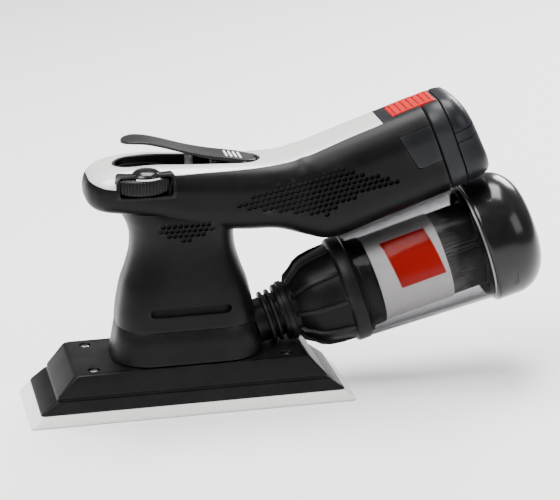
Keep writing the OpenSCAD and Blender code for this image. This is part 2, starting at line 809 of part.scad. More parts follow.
module release_spring() {
    color("silver") on_handle() for (i = [0 : 1]) translate([release_t[0] + 12, 0, high - 6.9 + i * 1.4])
        rotate_extrude() translate([3, 0]) circle(r = 0.4, $fn = 16);
}

// ---------- dust canister ----------

module dust_spout() {
    color("black") on_can() difference() {
        union() {
            translate([0, 0, -14]) cylinder(r = spout_r, h = 26);
            translate([0, 0, -7]) cylinder(r = spout_r + 2.2, h = 2.4);
            translate([0, 0, -2.6]) cylinder(r = spout_r + 2.2, h = 2.4);
        }
        translate([0, 0, -30]) cylinder(r = spout_r - 2, h = 60);
        translate([0, 0, 4]) ring(spout_r + 1, spout_r - 0.8, 2);
        translate([0, 0, 8]) ring(spout_r + 1, spout_r - 0.8, 2);
    }
}

module spout_rings() {
    color("dimgray") on_can() for (s = [4, 8]) translate([0, 0, s + 0.1])
        ring(spout_r + 0.9, spout_r - 0.75, 1.8);
}

// Outside of the adapter, grown by g.
function adapter_outline(g = 0) = [
    [neck_r + g, s_neck - g], [neck_r + g, 13], [neck_r + 2.5 + g, 15], [24.5 + g, 19], [can_r - 4.5 + g, 28],
    [can_r - 2.6 + g, 40], [can_r - 2 + g, 43], [can_r + 0.4 + g, 45], [can_r + 0.4 + g, s_mouth - slack],
];

module dust_adapter() {
    inner = spout_r + 1;
    color("black") on_can() rotate_extrude() polygon(concat([[inner, s_neck]], adapter_outline(), [
        [can_r - can_wall - 2.6, s_mouth - slack], [can_r - can_wall - 2.6, 41], [can_r - 7.2, 28], [21.6, 20.4],
        [inner, 14],
    ]));
}

module mouth_seal() {
    color("gray") on_can(s_mouth - slack) ring(can_r - can_wall - 0.3, can_r - can_wall - 2.5, 3);
}

module clear_container() {
    color("lightblue", 0.4) on_can(s_mouth) rotate_extrude() polygon([
        [can_r - can_wall, 0], [can_r, 0], [far_r, can_len - 2], [far_r, can_len],
        [far_r - can_wall, can_len], [far_r - can_wall, can_len - 2],
    ]);
}

module filter_pleats() {
    deep = 5;
    color("ivory") on_can(s_filter) linear_extrude(filter_len) difference() {
        polygon([for (i = [0 : 2 * pleats - 1]) let (r = filter_r - (i % 2) * deep, a = i * 180 / pleats)
            [r * cos(a), r * sin(a)]]);
        polygon([for (i = [0 : 2 * pleats - 1]) let (r = filter_r - 1.3 - (i % 2) * deep, a = i * 180 / pleats)
            [r * cos(a), r * sin(a)]]);
    }
}

module filter_core() {
    r = filter_r - 7.5;
    color("black") on_can(s_filter) difference() {
        ring(r, r - 1.5, filter_len);
        for (a = [0 : 45 : 315], z = [6 : 12 : filter_len - 9]) rotate(a) translate([0, 0, z + 3])
            rotate([0, 90, 0]) cylinder(r = 3, h = 40);
    }
}

module filter_end_plates() {
    color("black") on_can() {
        translate([0, 0, s_filter - 3.4]) ring(filter_r + 1, 9, 3.2);
        translate([0, 0, s_filter - 8.6]) ring(can_r - can_wall - 2.8, can_r - can_wall - 5.4, 6);
        for (a = [0 : 90 : 270]) rotate(a) translate([filter_r - 1, -2, s_filter - 5])
            cube([can_r - can_wall - 4 - filter_r, 4, 1.8]);
        translate([0, 0, s_filter + filter_len + 0.2]) cylinder(r = filter_r + 1, h = 3);
    }
}

module end_cap() {
    out = [for (a = [0 : 15 : 90]) [cap_r - 21 + 21 * cos(a), cap_len - 21 * 0.95 + 21 * 0.95 * sin(a)]];
    in = [for (a = [90 : -15 : 0]) [cap_r - 21 + 18.6 * cos(a), cap_len - 21 * 0.95 + 17.6 * sin(a)]];
    color("black", 0.8) on_can(s_far) rotate_extrude() polygon(concat(
        [[cap_r - 2.4, slack], [cap_r - 0.8, slack], [cap_r, 4]], out, [[0, cap_len], [0, cap_len - 2.35]], in,
        [[cap_r - 2.4, 4]]));
}

module cap_seal() {
    color("gray") on_can(s_far - 3) ring(far_r - can_wall - 0.1, far_r - can_wall - 2.2, 4);
}

interface_pad();
backing_plate();
plate_cover();
cover_screws();
orbit_bearing();
plate_washer();
motor_shaft();
rotor_core();
counterweight();
extraction_fan();
retaining_screw();
collar();
skirt_seal();
lower_bearing_bracket();
main_bearing();
support_legs();
stator();
stator_windings();
upper_bearing_bracket();
upper_bearing();
near_shell();
far_shell();
top_cover();
shell_screws();
lever_tray();
paddle_lever();
lever_pin();
lever_spring();
power_switch();
switch_plunger();
dial_bezel();
speed_dial();
dial_control();
control_board();
terminal_block();
battery_case();
battery_end_cover();
battery_cells();
battery_contacts();
battery_release();
release_spring();
dust_spout();
spout_rings();
dust_adapter();
mouth_seal();
clear_container();
filter_pleats();
filter_core();
filter_end_plates();
end_cap();
cap_seal();
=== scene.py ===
import json
import math
import bpy
import bmesh
from mathutils import Matrix, Vector


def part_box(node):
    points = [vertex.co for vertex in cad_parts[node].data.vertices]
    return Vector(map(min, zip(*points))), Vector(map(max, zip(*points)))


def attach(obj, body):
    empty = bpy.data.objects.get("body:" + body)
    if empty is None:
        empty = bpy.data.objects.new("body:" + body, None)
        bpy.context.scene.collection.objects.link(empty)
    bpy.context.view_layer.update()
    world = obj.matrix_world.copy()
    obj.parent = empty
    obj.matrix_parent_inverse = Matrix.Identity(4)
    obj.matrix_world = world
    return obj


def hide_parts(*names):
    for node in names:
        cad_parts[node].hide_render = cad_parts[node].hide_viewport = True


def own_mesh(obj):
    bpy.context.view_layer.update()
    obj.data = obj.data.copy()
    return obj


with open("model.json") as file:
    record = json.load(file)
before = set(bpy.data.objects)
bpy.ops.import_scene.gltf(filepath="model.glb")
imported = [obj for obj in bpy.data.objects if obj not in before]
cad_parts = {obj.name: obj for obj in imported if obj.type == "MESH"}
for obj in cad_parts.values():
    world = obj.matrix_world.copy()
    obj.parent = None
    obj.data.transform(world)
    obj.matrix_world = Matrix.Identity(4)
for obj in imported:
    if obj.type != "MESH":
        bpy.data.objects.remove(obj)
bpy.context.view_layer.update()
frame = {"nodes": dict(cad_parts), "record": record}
print("frame loaded,", len(frame["nodes"]), "nodes")
mm = 0.001


# small tools
def nodeBox(name):
    low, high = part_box(name)
    return low / mm, high / mm


def jointNamed(name):
    return next(j for j in frame["record"]["behaviour"]["joints"] if j["name"] == name)


def newPiece(name, points, faces):
    mesh = bpy.data.meshes.new(name)
    mesh.from_pydata([Vector(p) * mm for p in points], [], faces)
    piece = bpy.data.objects.new(name, mesh)
    bpy.context.scene.collection.objects.link(piece)
    bm = bmesh.new()
    bm.from_mesh(mesh)
    bmesh.ops.remove_doubles(bm, verts=bm.verts, dist=1e-7)
    bmesh.ops.recalc_face_normals(bm, faces=bm.faces)
    bm.to_mesh(mesh)
    bm.free()
    return piece


def bakeShape(piece):
    graph = bpy.context.evaluated_depsgraph_get()
    mesh = bpy.data.meshes.new_from_object(piece.evaluated_get(graph))
    piece.modifiers.clear()
    piece.data = mesh
    return piece


def combine(piece, cutter, how="DIFFERENCE", solver="EXACT"):
    step = piece.modifiers.new("combine", "BOOLEAN")
    step.operation = how
    step.solver = solver
    step.object = cutter
    bakeShape(piece)
    bpy.data.objects.remove(cutter)
    return piece


def copyOf(piece, name):
    twin = bpy.data.objects.new(name, piece.data.copy())
    bpy.context.scene.collection.objects.link(twin)
    return twin


def joinAll(name, parts):
    bm = bmesh.new()
    for part in parts:
        bm.from_mesh(part.data)
        bpy.data.objects.remove(part)
    mesh = bpy.data.meshes.new(name)
    bm.to_mesh(mesh)
    bm.free()
    piece = bpy.data.objects.new(name, mesh)
    bpy.context.scene.collection.objects.link(piece)
    return piece


def finishPiece(piece, material, body, nodes=(), round=0.0, sharp=32, steps=2):
    if round:
        edge = piece.modifiers.new("edges", "BEVEL")
        edge.width = round * mm
        edge.segments = steps
        edge.limit_method = "ANGLE"
        edge.angle_limit = math.radians(sharp)
        edge.harden_normals = False
        bakeShape(piece)
    piece.data.shade_smooth()
    piece.data.set_sharp_from_angle(angle=math.radians(sharp + 6))
    piece.data.materials.clear()
    piece.data.materials.append(material)
    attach(piece, body)
    if nodes:
        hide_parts(*nodes)
    return piece


def ringFaces(count, rings):
    # quads between rings of equal count, with both ends capped
    faces = []
    for k in range(rings - 1):
        for i in range(count):
            j = (i + 1) % count
            faces.append((k * count + i, k * count + j, (k + 1) * count + j, (k + 1) * count + i))
    faces.append(tuple(reversed(range(count))))
    faces.append(tuple(range((rings - 1) * count, rings * count)))
    return faces


def roundedRing(w, h, r, perCorner=12, perSide=4):
    r = min(r, w / 2 - 0.01, h / 2 - 0.01)
    out = []
    corners = [(w / 2 - r, h / 2 - r, 0), (-w / 2 + r, h / 2 - r, 90),
               (-w / 2 + r, -h / 2 + r, 180), (w / 2 - r, -h / 2 + r, 270)]
    for k, (cx, cy, start) in enumerate(corners):
        arc = [(cx + r * math.cos(math.radians(start + 90 * i / perCorner)),
                cy + r * math.sin(math.radians(start + 90 * i / perCorner))) for i in range(perCorner + 1)]
        out += arc
        nx, ny, ns = corners[(k + 1) % 4]
        ahead = (nx + r * math.cos(math.radians(ns)), ny + r * math.sin(math.radians(ns)))
        for i in range(1, perSide):
            t = i / perSide
            out.append((arc[-1][0] * (1 - t) + ahead[0] * t, arc[-1][1] * (1 - t) + ahead[1] * t))
    return out


def levelLoft(name, levels):
    # each level: height, half length, half width, corner radius
    points = []
    for z, a, b, r in levels:
        points += [(x, y, z) for x, y in roundedRing(2 * a, 2 * b, r)]
    return newPiece(name, points, ringFaces(len(points) // len(levels), len(levels)))


def revolve(name, outline, place, steps=96):
    # outline: radius and distance along the axis, closed
    points = []
    for i in range(steps):
        a = 2 * math.pi * i / steps
        points += [place @ Vector((r * math.cos(a), r * math.sin(a), s)) for r, s in outline]
    n = len(outline)
    faces = []
    for i in range(steps):
        k = (i + 1) % steps
        for j in range(n):
            m = (j + 1) % n
            faces.append((i * n + j, k * n + j, k * n + m, i * n + m))
    return newPiece(name, points, faces)


def rod(name, radius, low, high, place, steps):
    return revolve(name, [(0.001, low), (radius, low), (radius, high), (0.001, high)], place, steps)


def prism(name, outline, low, high, place):
    n = len(outline)
    points = [place @ Vector((x, y, low)) for x, y in outline] + [place @ Vector((x, y, high)) for x,
                                                                  y in outline]
    return newPiece(name, points, ringFaces(n, 2))


def stadium(x0, x1, w, steps=20):
    r = w / 2
    right = [(x1 - r + r * math.cos(math.radians(a)), r * math.sin(math.radians(a)))
             for a in [-90 + 180 * i / steps for i in range(steps + 1)]]
    left = [(x0 + r + r * math.cos(math.radians(a)), r * math.sin(math.radians(a)))
            for a in [90 + 180 * i / steps for i in range(steps + 1)]]
    return right + left


def smoothRows(rows, steps):
    out = []
    for i in range(len(rows) - 1):
        a, b, c, d = rows[max(i - 1, 0)], rows[i], rows[i + 1], rows[min(i + 2, len(rows) - 1)]
        for k in range(steps):
            t = k / steps
            out.append([0.5 * (2 * q + (r - p) * t + (2 * p - 5 * q + 4 * r - s) * t * t
                               + (3 * q - p - 3 * r + s) * t ** 3) for p, q, r, s in zip(a, b, c, d)])
    return out + [list(rows[-1])]


sideways = Matrix.Rotation(math.radians(90), 4, "X")      # local z becomes -Y
upright = Matrix.Identity(4)


# shared shader groups
def startGroup(name, inputs, outputs):
    group = bpy.data.node_groups.new(name, "ShaderNodeTree")
    for label, kind, value in inputs:
        socket = group.interface.new_socket(label, in_out="INPUT", socket_type=kind)
        if value is not None:
            socket.default_value = value
    for label, kind in outputs:
        group.interface.new_socket(label, in_out="OUTPUT", socket_type=kind)
    return group, group.nodes.new("NodeGroupInput"), group.nodes.new("NodeGroupOutput")


def addNode(tree, kind, **values):
    node = tree.nodes.new(kind)
    for key, value in values.items():
        setattr(node, key, value)
    return node


def mathNode(tree, operation, first, second=None, third=None, clamp=False):
    node = addNode(tree, "ShaderNodeMath", operation=operation, use_clamp=clamp)
    for socket, value in zip(node.inputs, (first, second, third)):
        if value is None:
            continue
        if isinstance(value, (int, float)):
            socket.default_value = value
        else:
            tree.links.new(value, socket)
    return node.outputs[0]


def noiseOf(tree, coords, scale, detail=4.0, rough=0.5):
    noise = addNode(tree, "ShaderNodeTexNoise")
    noise.inputs["Detail"].default_value = detail
    noise.inputs["Roughness"].default_value = rough
    tree.links.new(coords, noise.inputs["Vector"])
    if isinstance(scale, (int, float)):
        noise.inputs["Scale"].default_value = scale
    else:
        tree.links.new(scale, noise.inputs["Scale"])
    return noise.outputs["Fac"]


def makeMouldGrain():
    group, inside, outside = startGroup("mouldGrain", [("Scale", "NodeSocketFloat", 2600.0)],
                                        [("Height", "NodeSocketFloat"), ("Variation", "NodeSocketFloat")])
    coords = addNode(group, "ShaderNodeTexCoord").outputs["Object"]
    fine = noiseOf(group, coords, inside.outputs["Scale"], 2.0, 0.6)
    cells = addNode(group, "ShaderNodeTexVoronoi", feature="SMOOTH_F1")
    group.links.new(coords, cells.inputs["Vector"])
    group.links.new(inside.outputs["Scale"], cells.inputs["Scale"])
    height = mathNode(group, "MULTIPLY_ADD", cells.outputs["Distance"], 0.6, fine)
    broad = noiseOf(group, coords, 38.0, 4.0, 0.55)
    group.links.new(height, outside.inputs["Height"])
    group.links.new(broad, outside.inputs["Variation"])
    return group


def makeEdgeWear():
    group, inside, outside = startGroup("edgeWear", [("Amount", "NodeSocketFloat", 0.5)],
                                        [("Mask", "NodeSocketFloat")])
    coords = addNode(group, "ShaderNodeTexCoord").outputs["Object"]
    point = addNode(group, "ShaderNodeNewGeometry").outputs["Pointiness"]
    rise = mathNode(group, "SUBTRACT", point, 0.515)
    rise = mathNode(group, "MULTIPLY", rise, 14.0, clamp=True)
    patchy = mathNode(group, "MULTIPLY", noiseOf(group, coords, 170.0, 5.0, 0.65), 1.5, clamp=True)
    mask = mathNode(group, "MULTIPLY", mathNode(group, "MULTIPLY", rise, patchy), inside.outputs["Amount"],
                    clamp=True)
    group.links.new(mask, outside.inputs["Mask"])
    return group


def makeFineDust():
    group, inside, outside = startGroup("fineDust", [("Amount", "NodeSocketFloat", 0.2)],
                                        [("Mask", "NodeSocketFloat")])
    coords = addNode(group, "ShaderNodeTexCoord").outputs["Object"]
    normal = addNode(group, "ShaderNodeNewGeometry").outputs["Normal"]
    split = addNode(group, "ShaderNodeSeparateXYZ")
    group.links.new(normal, split.inputs[0])
    facing = mathNode(group, "MULTIPLY_ADD", split.outputs["Z"], 0.6, 0.25, clamp=True)
    cloud = mathNode(group, "SUBTRACT", noiseOf(group, coords, 60.0, 6.0, 0.7), 0.42)
    cloud = mathNode(group, "MULTIPLY", cloud, 3.0, clamp=True)
    mask = mathNode(group, "MULTIPLY", mathNode(group, "MULTIPLY", facing, cloud), inside.outputs["Amount"],
                    clamp=True)
    group.links.new(mask, outside.inputs["Mask"])
    return group


mouldGrain = makeMouldGrain()
edgeWear = makeEdgeWear()
fineDust = makeFineDust()


def placeGroup(tree, group, **values):
    node = addNode(tree, "ShaderNodeGroup", node_tree=group)
    for key, value in values.items():
        node.inputs[key].default_value = value
    return node


def mixColour(tree, mask, first, second):
    mix = addNode(tree, "ShaderNodeMix", data_type="RGBA")
    tree.links.new(mask, mix.inputs["Factor"])
    for socket, value in ((mix.inputs["A"], first), (mix.inputs["B"], second)):
        if isinstance(value, tuple):
            socket.default_value = (*value, 1.0)
        else:
            tree.links.new(value, socket)
    return mix.outputs["Result"]


def startFinish(name, **values):
    material = bpy.data.materials.new(name)
    material.use_nodes = True
    shader = material.node_tree.nodes["Principled BSDF"]
    for label, value in values.items():
        shader.inputs[label.replace("_", " ")].default_value = value
    return material, material.node_tree, shader


def addBump(tree, shader, height, strength, depth):
    bump = addNode(tree, "ShaderNodeBump")
    bump.inputs["Strength"].default_value = strength
    bump.inputs["Distance"].default_value = depth * mm
    tree.links.new(height, bump.inputs["Height"])
    tree.links.new(bump.outputs["Normal"], shader.inputs["Normal"])


def makeFinish(name, look):
    # a moulded, painted or metal surface built from the shared groups
    material, tree, shader = startFinish(
        name, Metallic=look.get("metal", 0.0), IOR=1.48, Specular_IOR_Level=look.get("spec", 0.5),
        Coat_Weight=look.get("coat", 0.0), Coat_Roughness=look.get("coatRough", 0.08))
    grain = placeGroup(tree, mouldGrain, Scale=look.get("grain", 2600.0))
    wear = placeGroup(tree, edgeWear, Amount=look.get("wear", 0.35))
    dust = placeGroup(tree, fineDust, Amount=look.get("dust", 0.06))
    low = tuple(c * (1 - look.get("drift", 0.12)) for c in look["colour"])
    high = tuple(min(1.0, c * (1 + look.get("drift", 0.12))) for c in look["colour"])
    base = mixColour(tree, grain.outputs["Variation"], low, high)
    worn = tuple(min(1.0, c * 2.2 + 0.03) for c in look["colour"])
    base = mixColour(tree, wear.outputs["Mask"], base, look.get("wornTo", worn))
    base = mixColour(tree, dust.outputs["Mask"], base, (0.55, 0.52, 0.47))
    tree.links.new(base, shader.inputs["Base Color"])
    rough = mathNode(tree, "MULTIPLY_ADD", grain.outputs["Variation"], look.get("roughSpread", 0.12),
                     look["rough"] - 0.06)
    rough = mathNode(tree, "MULTIPLY_ADD", wear.outputs["Mask"], -0.12, rough)
    rough = mathNode(tree, "MULTIPLY_ADD", dust.outputs["Mask"], 0.4, rough, clamp=True)
    tree.links.new(rough, shader.inputs["Roughness"])
    addBump(tree, shader, grain.outputs["Height"], look.get("bump", 0.35), look.get("depth", 0.05))
    return material


finishes = {
    "blackShell": dict(colour=(0.002, 0.002, 0.0021), rough=0.38, grain=2400, depth=0.08, bump=0.4,
                       wear=0.3, dust=0.012, spec=0.13),
    "blackBase": dict(colour=(0.0019, 0.0019, 0.0019), rough=0.42, grain=2000, depth=0.09, bump=0.45,
                      wear=0.4, dust=0.014, spec=0.12),
    "blackGloss": dict(colour=(0.0012, 0.0012, 0.0013), rough=0.24, grain=500, depth=0.01, bump=0.1,
                       wear=0.2, dust=0.02,
                       coat=0.08, coatRough=0.14, roughSpread=0.06, spec=0.3),
    "silverCover": dict(colour=(0.6, 0.6, 0.585), rough=0.3, grain=3600, depth=0.02, bump=0.2, wear=0.1,
                        dust=0.04,
                        coat=0.4, coatRough=0.12, metal=0.1, drift=0.03, wornTo=(0.7, 0.7, 0.68)),
    "batteryShell": dict(colour=(0.0052, 0.0056, 0.0076), rough=0.36, grain=2400, depth=0.08, bump=0.4,
                         wear=0.3, dust=0.012, spec=0.2),
    "latchRed": dict(colour=(0.42, 0.0015, 0.002), rough=0.34, grain=3000, depth=0.03, bump=0.25, wear=0.12,
                     drift=0.06,
                     dust=0.01, spec=0.3, wornTo=(0.55, 0.03, 0.02)),
    "labelRed": dict(colour=(0.5, 0.004, 0.0012), rough=0.5, grain=5000, depth=0.01, bump=0.15, wear=0.0,
                     dust=0.0,
                     drift=0.04, spec=0.2),
    "leverGrey": dict(colour=(0.0065, 0.0062, 0.006), rough=0.38, grain=1500, depth=0.12, bump=0.6,
                      wear=0.3, dust=0.015, spec=0.22),
    "markWhite": dict(colour=(0.78, 0.78, 0.76), rough=0.4, grain=3000, depth=0.01, bump=0.1, wear=0.0,
                      drift=0.03),
    "dialBlack": dict(colour=(0.0018, 0.0018, 0.0018), rough=0.32, grain=2600, depth=0.03, bump=0.25,
                      wear=0.35, dust=0.01, spec=0.18),
    "softRubber": dict(colour=(0.004, 0.004, 0.004), rough=0.62, grain=1600, depth=0.06, bump=0.4,
                       wear=0.15, dust=0.03, spec=0.12),
    "padFoam": dict(colour=(0.72, 0.71, 0.69), rough=0.8, grain=1100, depth=0.35, bump=0.7, wear=0.1,
                    dust=0.05,
                    drift=0.05, wornTo=(0.62, 0.61, 0.58)),
    "brightSteel": dict(colour=(0.6, 0.6, 0.61), rough=0.28, grain=1800, depth=0.02, bump=0.2, wear=0.3,
                        metal=1.0,
                        dust=0.04, drift=0.06, wornTo=(0.8, 0.8, 0.8)),
    "stackIron": dict(colour=(0.2, 0.2, 0.21), rough=0.5, grain=1400, depth=0.05, bump=0.4, metal=0.9,
                      wornTo=(0.5, 0.5, 0.5)),
    "castAlloy": dict(colour=(0.5, 0.51, 0.52), rough=0.45, grain=900, depth=0.1, bump=0.6, metal=0.9,
                      wornTo=(0.75, 0.75, 0.75)),
    "copperWire": dict(colour=(0.6, 0.26, 0.1), rough=0.35, grain=1200, depth=0.2, bump=0.8, metal=0.8,
                       wornTo=(0.8, 0.45, 0.2)),
    "goldContact": dict(colour=(0.78, 0.56, 0.22), rough=0.25, grain=2000, depth=0.02, bump=0.2, metal=1.0,
                        wornTo=(0.9, 0.75, 0.4)),
    "cellSleeve": dict(colour=(0.05, 0.17, 0.36), rough=0.3, grain=2500, depth=0.02, bump=0.2),
    "boardGreen": dict(colour=(0.01, 0.14, 0.05), rough=0.35, grain=1500, depth=0.04, bump=0.4),
    "paleMoulding": dict(colour=(0.5, 0.5, 0.48), rough=0.45, grain=2600, depth=0.04, bump=0.3, drift=0.05),
}
skins = {name: makeFinish(name, look) for name, look in finishes.items()}


def makeClearWall():
    material, tree, shader = startFinish("clearWall", Metallic=0.0, Transmission_Weight=1.0, IOR=1.12,
                                         Specular_IOR_Level=0.3)
    dust = placeGroup(tree, fineDust, Amount=0.16)
    grain = placeGroup(tree, mouldGrain, Scale=60.0)
    # painted shade: the wall's base colour goes from pale where it faces the camera to near black at grazing
    # view, standing in for the dark look of the tube's edges
    grazingShade = addNode(tree, "ShaderNodeLayerWeight")
    grazingShade.inputs["Blend"].default_value = 0.68
    grazingShadeTint = mixColour(tree, grazingShade.outputs["Facing"], (0.8, 0.79, 0.81), (0.008, 0.007, 0.01))
    tree.links.new(mixColour(tree, dust.outputs["Mask"], grazingShadeTint, (0.5, 0.48, 0.46)),
                   shader.inputs["Base Color"])
    rough = mathNode(tree, "MULTIPLY_ADD", grain.outputs["Variation"], 0.03, 0.01)
    tree.links.new(mathNode(tree, "MULTIPLY_ADD", dust.outputs["Mask"], 0.3, rough, clamp=True),
                   shader.inputs["Roughness"])
    addBump(tree, shader, grain.outputs["Height"], 0.15, 0.1)
    return material


def makeFilterPaper(name, capDarkening):
    # the second argument sets how dark the paper gets towards the cap end, in streaks
    material, tree, shader = startFinish(name, Sheen_Weight=0.2)
    coords = addNode(tree, "ShaderNodeTexCoord").outputs["Object"]
    dust = placeGroup(tree, fineDust, Amount=0.25)
    blotch = mathNode(tree, "MULTIPLY", noiseOf(tree, coords, 120.0, 6.0, 0.6), 1.0, clamp=True)
    paper = mixColour(tree, blotch, (0.64, 0.62, 0.58), (0.86, 0.85, 0.82))
    paper = mixColour(tree, dust.outputs["Mask"], paper, (0.5, 0.45, 0.38))
    # darker towards the cap end, with noise streaks, down to near black
    if capDarkening:
        axis = Vector(jointNamed("canister_slide")["axis"])
        along = addNode(tree, "ShaderNodeVectorMath", operation="DOT_PRODUCT")
        tree.links.new(coords, along.inputs[0])
        along.inputs[1].default_value = axis
        reach = mathNode(tree, "MULTIPLY_ADD", along.outputs["Value"], 34.0, -5.35)
        streaks = mathNode(tree, "MULTIPLY_ADD", noiseOf(tree, coords, 90.0, 5.0, 0.6), 1.1, -0.55)
        dark = mathNode(tree, "MULTIPLY", mathNode(tree, "ADD", reach, streaks, clamp=True), capDarkening)
        paper = mixColour(tree, dark, paper, (0.05, 0.046, 0.042))
    tree.links.new(paper, shader.inputs["Base Color"])
    tree.links.new(mathNode(tree, "MULTIPLY_ADD", blotch, 0.15, 0.72), shader.inputs["Roughness"])
    fibres = addNode(tree, "ShaderNodeTexWave", bands_direction="DIAGONAL")
    fibres.inputs["Scale"].default_value = 260.0
    fibres.inputs["Distortion"].default_value = 9.0
    tree.links.new(coords, fibres.inputs["Vector"])
    addBump(tree, shader, fibres.outputs["Fac"], 0.35, 0.1)
    return material


skins["clearWall"] = makeClearWall()
skins["filterPaper"] = makeFilterPaper("filterPaper", 0.0)
skins["capDarkenedPaper"] = makeFilterPaper("capDarkenedPaper", 1.0)
print("finishes made")


# sanding plate
plate = dict(footCorner=2.2, coverTop=(70.8, 31.5), holeRadius=4.0, screwRadius=3.2, screwSink=2.6)
padLow, padHigh = nodeBox("interface_pad")
backLow, backHigh = nodeBox("backing_plate")
coverLow, coverHigh = nodeBox("plate_cover")
holeRows = [(s * x, t * (coverHigh.y - 0.5) * 0.62 * 0.985) for x in (24, 50, 76) for s in (-1, 1)
            for t in (-1, 1)]


def dustHoles(low, high):
    ring = [(plate["holeRadius"] * math.cos(a * math.pi / 16),
             plate["holeRadius"] * math.sin(a * math.pi / 16))
            for a in range(32)]
    return joinAll("dustHoleTools", [prism("hole", [(x + p, y + q) for p, q in ring], low, high, upright)
                                     for x, y in holeRows])


def makePlate():
    r = plate["footCorner"]
    pad = levelLoft("interfacePad", [
        (padLow.z, padHigh.x - 0.9, padHigh.y - 0.9, r), (padLow.z + 0.5, padHigh.x - 0.2, padHigh.y - 0.2,
                                                          r),
        (padLow.z + 1.4, padHigh.x - 0.1, padHigh.y, r), (padLow.z + 2.2, padHigh.x - 1.4, padHigh.y - 0.2,
                                                          r),
        (padHigh.z - 1.0, backHigh.x + 0.9, backHigh.y + 0.5, r), (padHigh.z, backHigh.x, backHigh.y, r)])
    combine(pad, dustHoles(padLow.z - 2, padHigh.z + 2))
    finishPiece(pad, skins["padFoam"], "plate", ["interface_pad"], sharp=40)
    backing = levelLoft("backingPlate", [
        (backLow.z, backHigh.x - 0.7, backHigh.y - 0.6, r), (backLow.z + 0.5, backHigh.x, backHigh.y - 0.1,
                                                             r),
        (backLow.z + 1.6, backHigh.x - 0.9, backHigh.y - 0.1, r), (backHigh.z - 1.9, coverHigh.x + 1.6,
                                                                   coverHigh.y + 0.3, r),
        (backHigh.z - 1.5, coverHigh.x + 0.4, coverHigh.y - 0.7, r), (backHigh.z - 0.5, coverHigh.x - 0.2,
                                                                      coverHigh.y - 0.8, r),
        (backHigh.z, coverHigh.x - 0.3, coverHigh.y - 0.9, r)])
    combine(backing, dustHoles(backLow.z - 2, backHigh.z + 2))
    finishPiece(backing, skins["blackBase"], "plate", ["backing_plate"], sharp=28)
    a, b = plate["coverTop"]
    cover = levelLoft("plateCover", [
        (coverLow.z, coverHigh.x - 1.0, coverHigh.y - 0.8, r), (coverLow.z + 0.6, coverHigh.x - 0.2,
                                                                coverHigh.y - 0.1, r),
        (coverLow.z + 1.6, coverHigh.x - 0.9, coverHigh.y - 0.1, r), (coverHigh.z - 1.3, a + 1.3, b + 0.4,
                                                                      r + 0.6),
        (coverHigh.z - 0.5, a + 0.5, b + 0.1, r + 0.8), (coverHigh.z - 0.1, a - 0.5, b - 0.6, r + 1),
        (coverHigh.z, a - 1.4, b - 1.4, r + 1)])
    screwLow, screwHigh = nodeBox("cover_screws")
    spots = [(s * (screwHigh.x - plate["screwRadius"]), t * (screwHigh.y - plate["screwRadius"]))
             for s in (-1, 1) for t in (-1, 1)]
    top = coverHigh.z
    for x, y in spots:
        at = Matrix.Translation((x, y, top))
        combine(cover, revolve("sink", [(0.001, -2.7), (3.5, -2.7), (3.5, -0.5), (4.1, 0.4), (4.1, 2),
                                        (0.001, 2)], at, 40))
    combine(cover, rod("mouth", 20.5, -18, 3, Matrix.Translation((1.5, 0, top)), 64))
    finishPiece(cover, skins["blackBase"], "plate", ["plate_cover"], sharp=26)
    heads = []
    for k, (x, y) in enumerate(spots):
        at = Matrix.Translation((x, y, top - plate["screwSink"])) @ Matrix.Rotation(k * 0.7, 4, "Z")
        head = revolve("head", [(0.001, 0), (3.1, 0), (3.15, 0.6), (2.7, 1.5), (1.9, 1.95), (0.001, 2.1)],
                       at, 40)
        lobes = [((1.25 + 0.35 * math.cos(6 * t)) * math.cos(t),
                  (1.25 + 0.35 * math.cos(6 * t)) * math.sin(t))
                 for t in [2 * math.pi * i / 48 for i in range(48)]]
        heads.append(combine(head, prism("recess", lobes, 0.7, 4, at)))
    finishPiece(joinAll("coverScrews", heads), skins["brightSteel"], "plate", ["cover_screws"],
                sharp=30)


makePlate()
print("plate done")


# collar and housing
collarLow, collarHigh = nodeBox("collar")
seamZ = collarHigh.z
noseX = nodeBox("far_shell")[0].x
slideAxis = jointNamed("battery_slide")["axis"]
tilt = math.atan2(slideAxis[2], slideAxis[0])

housing = dict(wall=2.4, seamGap=0.35, bendX=70, bendZ=128, underside=-35.3, crest=21.7, shellEnd=86.5,
               slotHeight=5.6, slotFrom=-24, slotTo=25, parting=0.12)
# x, z, tilt, width, height, corner radius of the handle, nose first
noseRows = [
    (-0.5, 136.6, 0, 8, 3, 1.4), (0.0, 136.6, 0, 18, 8, 3.9), (1.3, 136.7, 0, 28, 13.5, 6.6),
    (3.4, 136.9, 0, 36, 17.8, 8.4),
    (6.6, 137.1, 0, 43.5, 21.2, 9.8), (12, 137.4, 0, 49.5, 24.2, 10.8), (21.4, 137.6, 0, 54.6, 26.8, 11.6),
    (39.4, 136.1, 0, 57, 31.4, 12.8), (61.4, 131.6, 0, 56, 37.8, 14.2), (91.4, 128.8, 0, 55, 40.4, 15.2),
    (113.4, 128.0, 0, 55, 41.6, 16)]


def alongRaised(t, p):
    return (housing["bendX"] + t * math.cos(tilt) - p * math.sin(tilt),
            housing["bendZ"] + t * math.sin(tilt) + p * math.cos(tilt))


def raisedOutline(points):
    return [alongRaised(t, p) for t, p in points]


def raisedRow(t, w, r):
    mid = (housing["underside"] + housing["crest"]) / 2
    return (*alongRaised(t, mid), math.degrees(tilt), w, housing["crest"] - housing["underside"], r)


def handleRows():
    rows = [(noseX + x, z, a, w, h, r) for x, z, a, w, h, r in noseRows]
    degrees = math.degrees(tilt)
    rows += [(69.5, 126.0, degrees * 0.45, 55, 48.8, 17), (78.2, 125.2, degrees * 0.76, 56, 55.2, 18)]
    rows += [raisedRow(15, 56.4, 19), raisedRow(34, 56.7, 19), raisedRow(52, 57, 19), raisedRow(70, 57, 19),
             raisedRow(housing["shellEnd"], 57, 19)]
    return rows


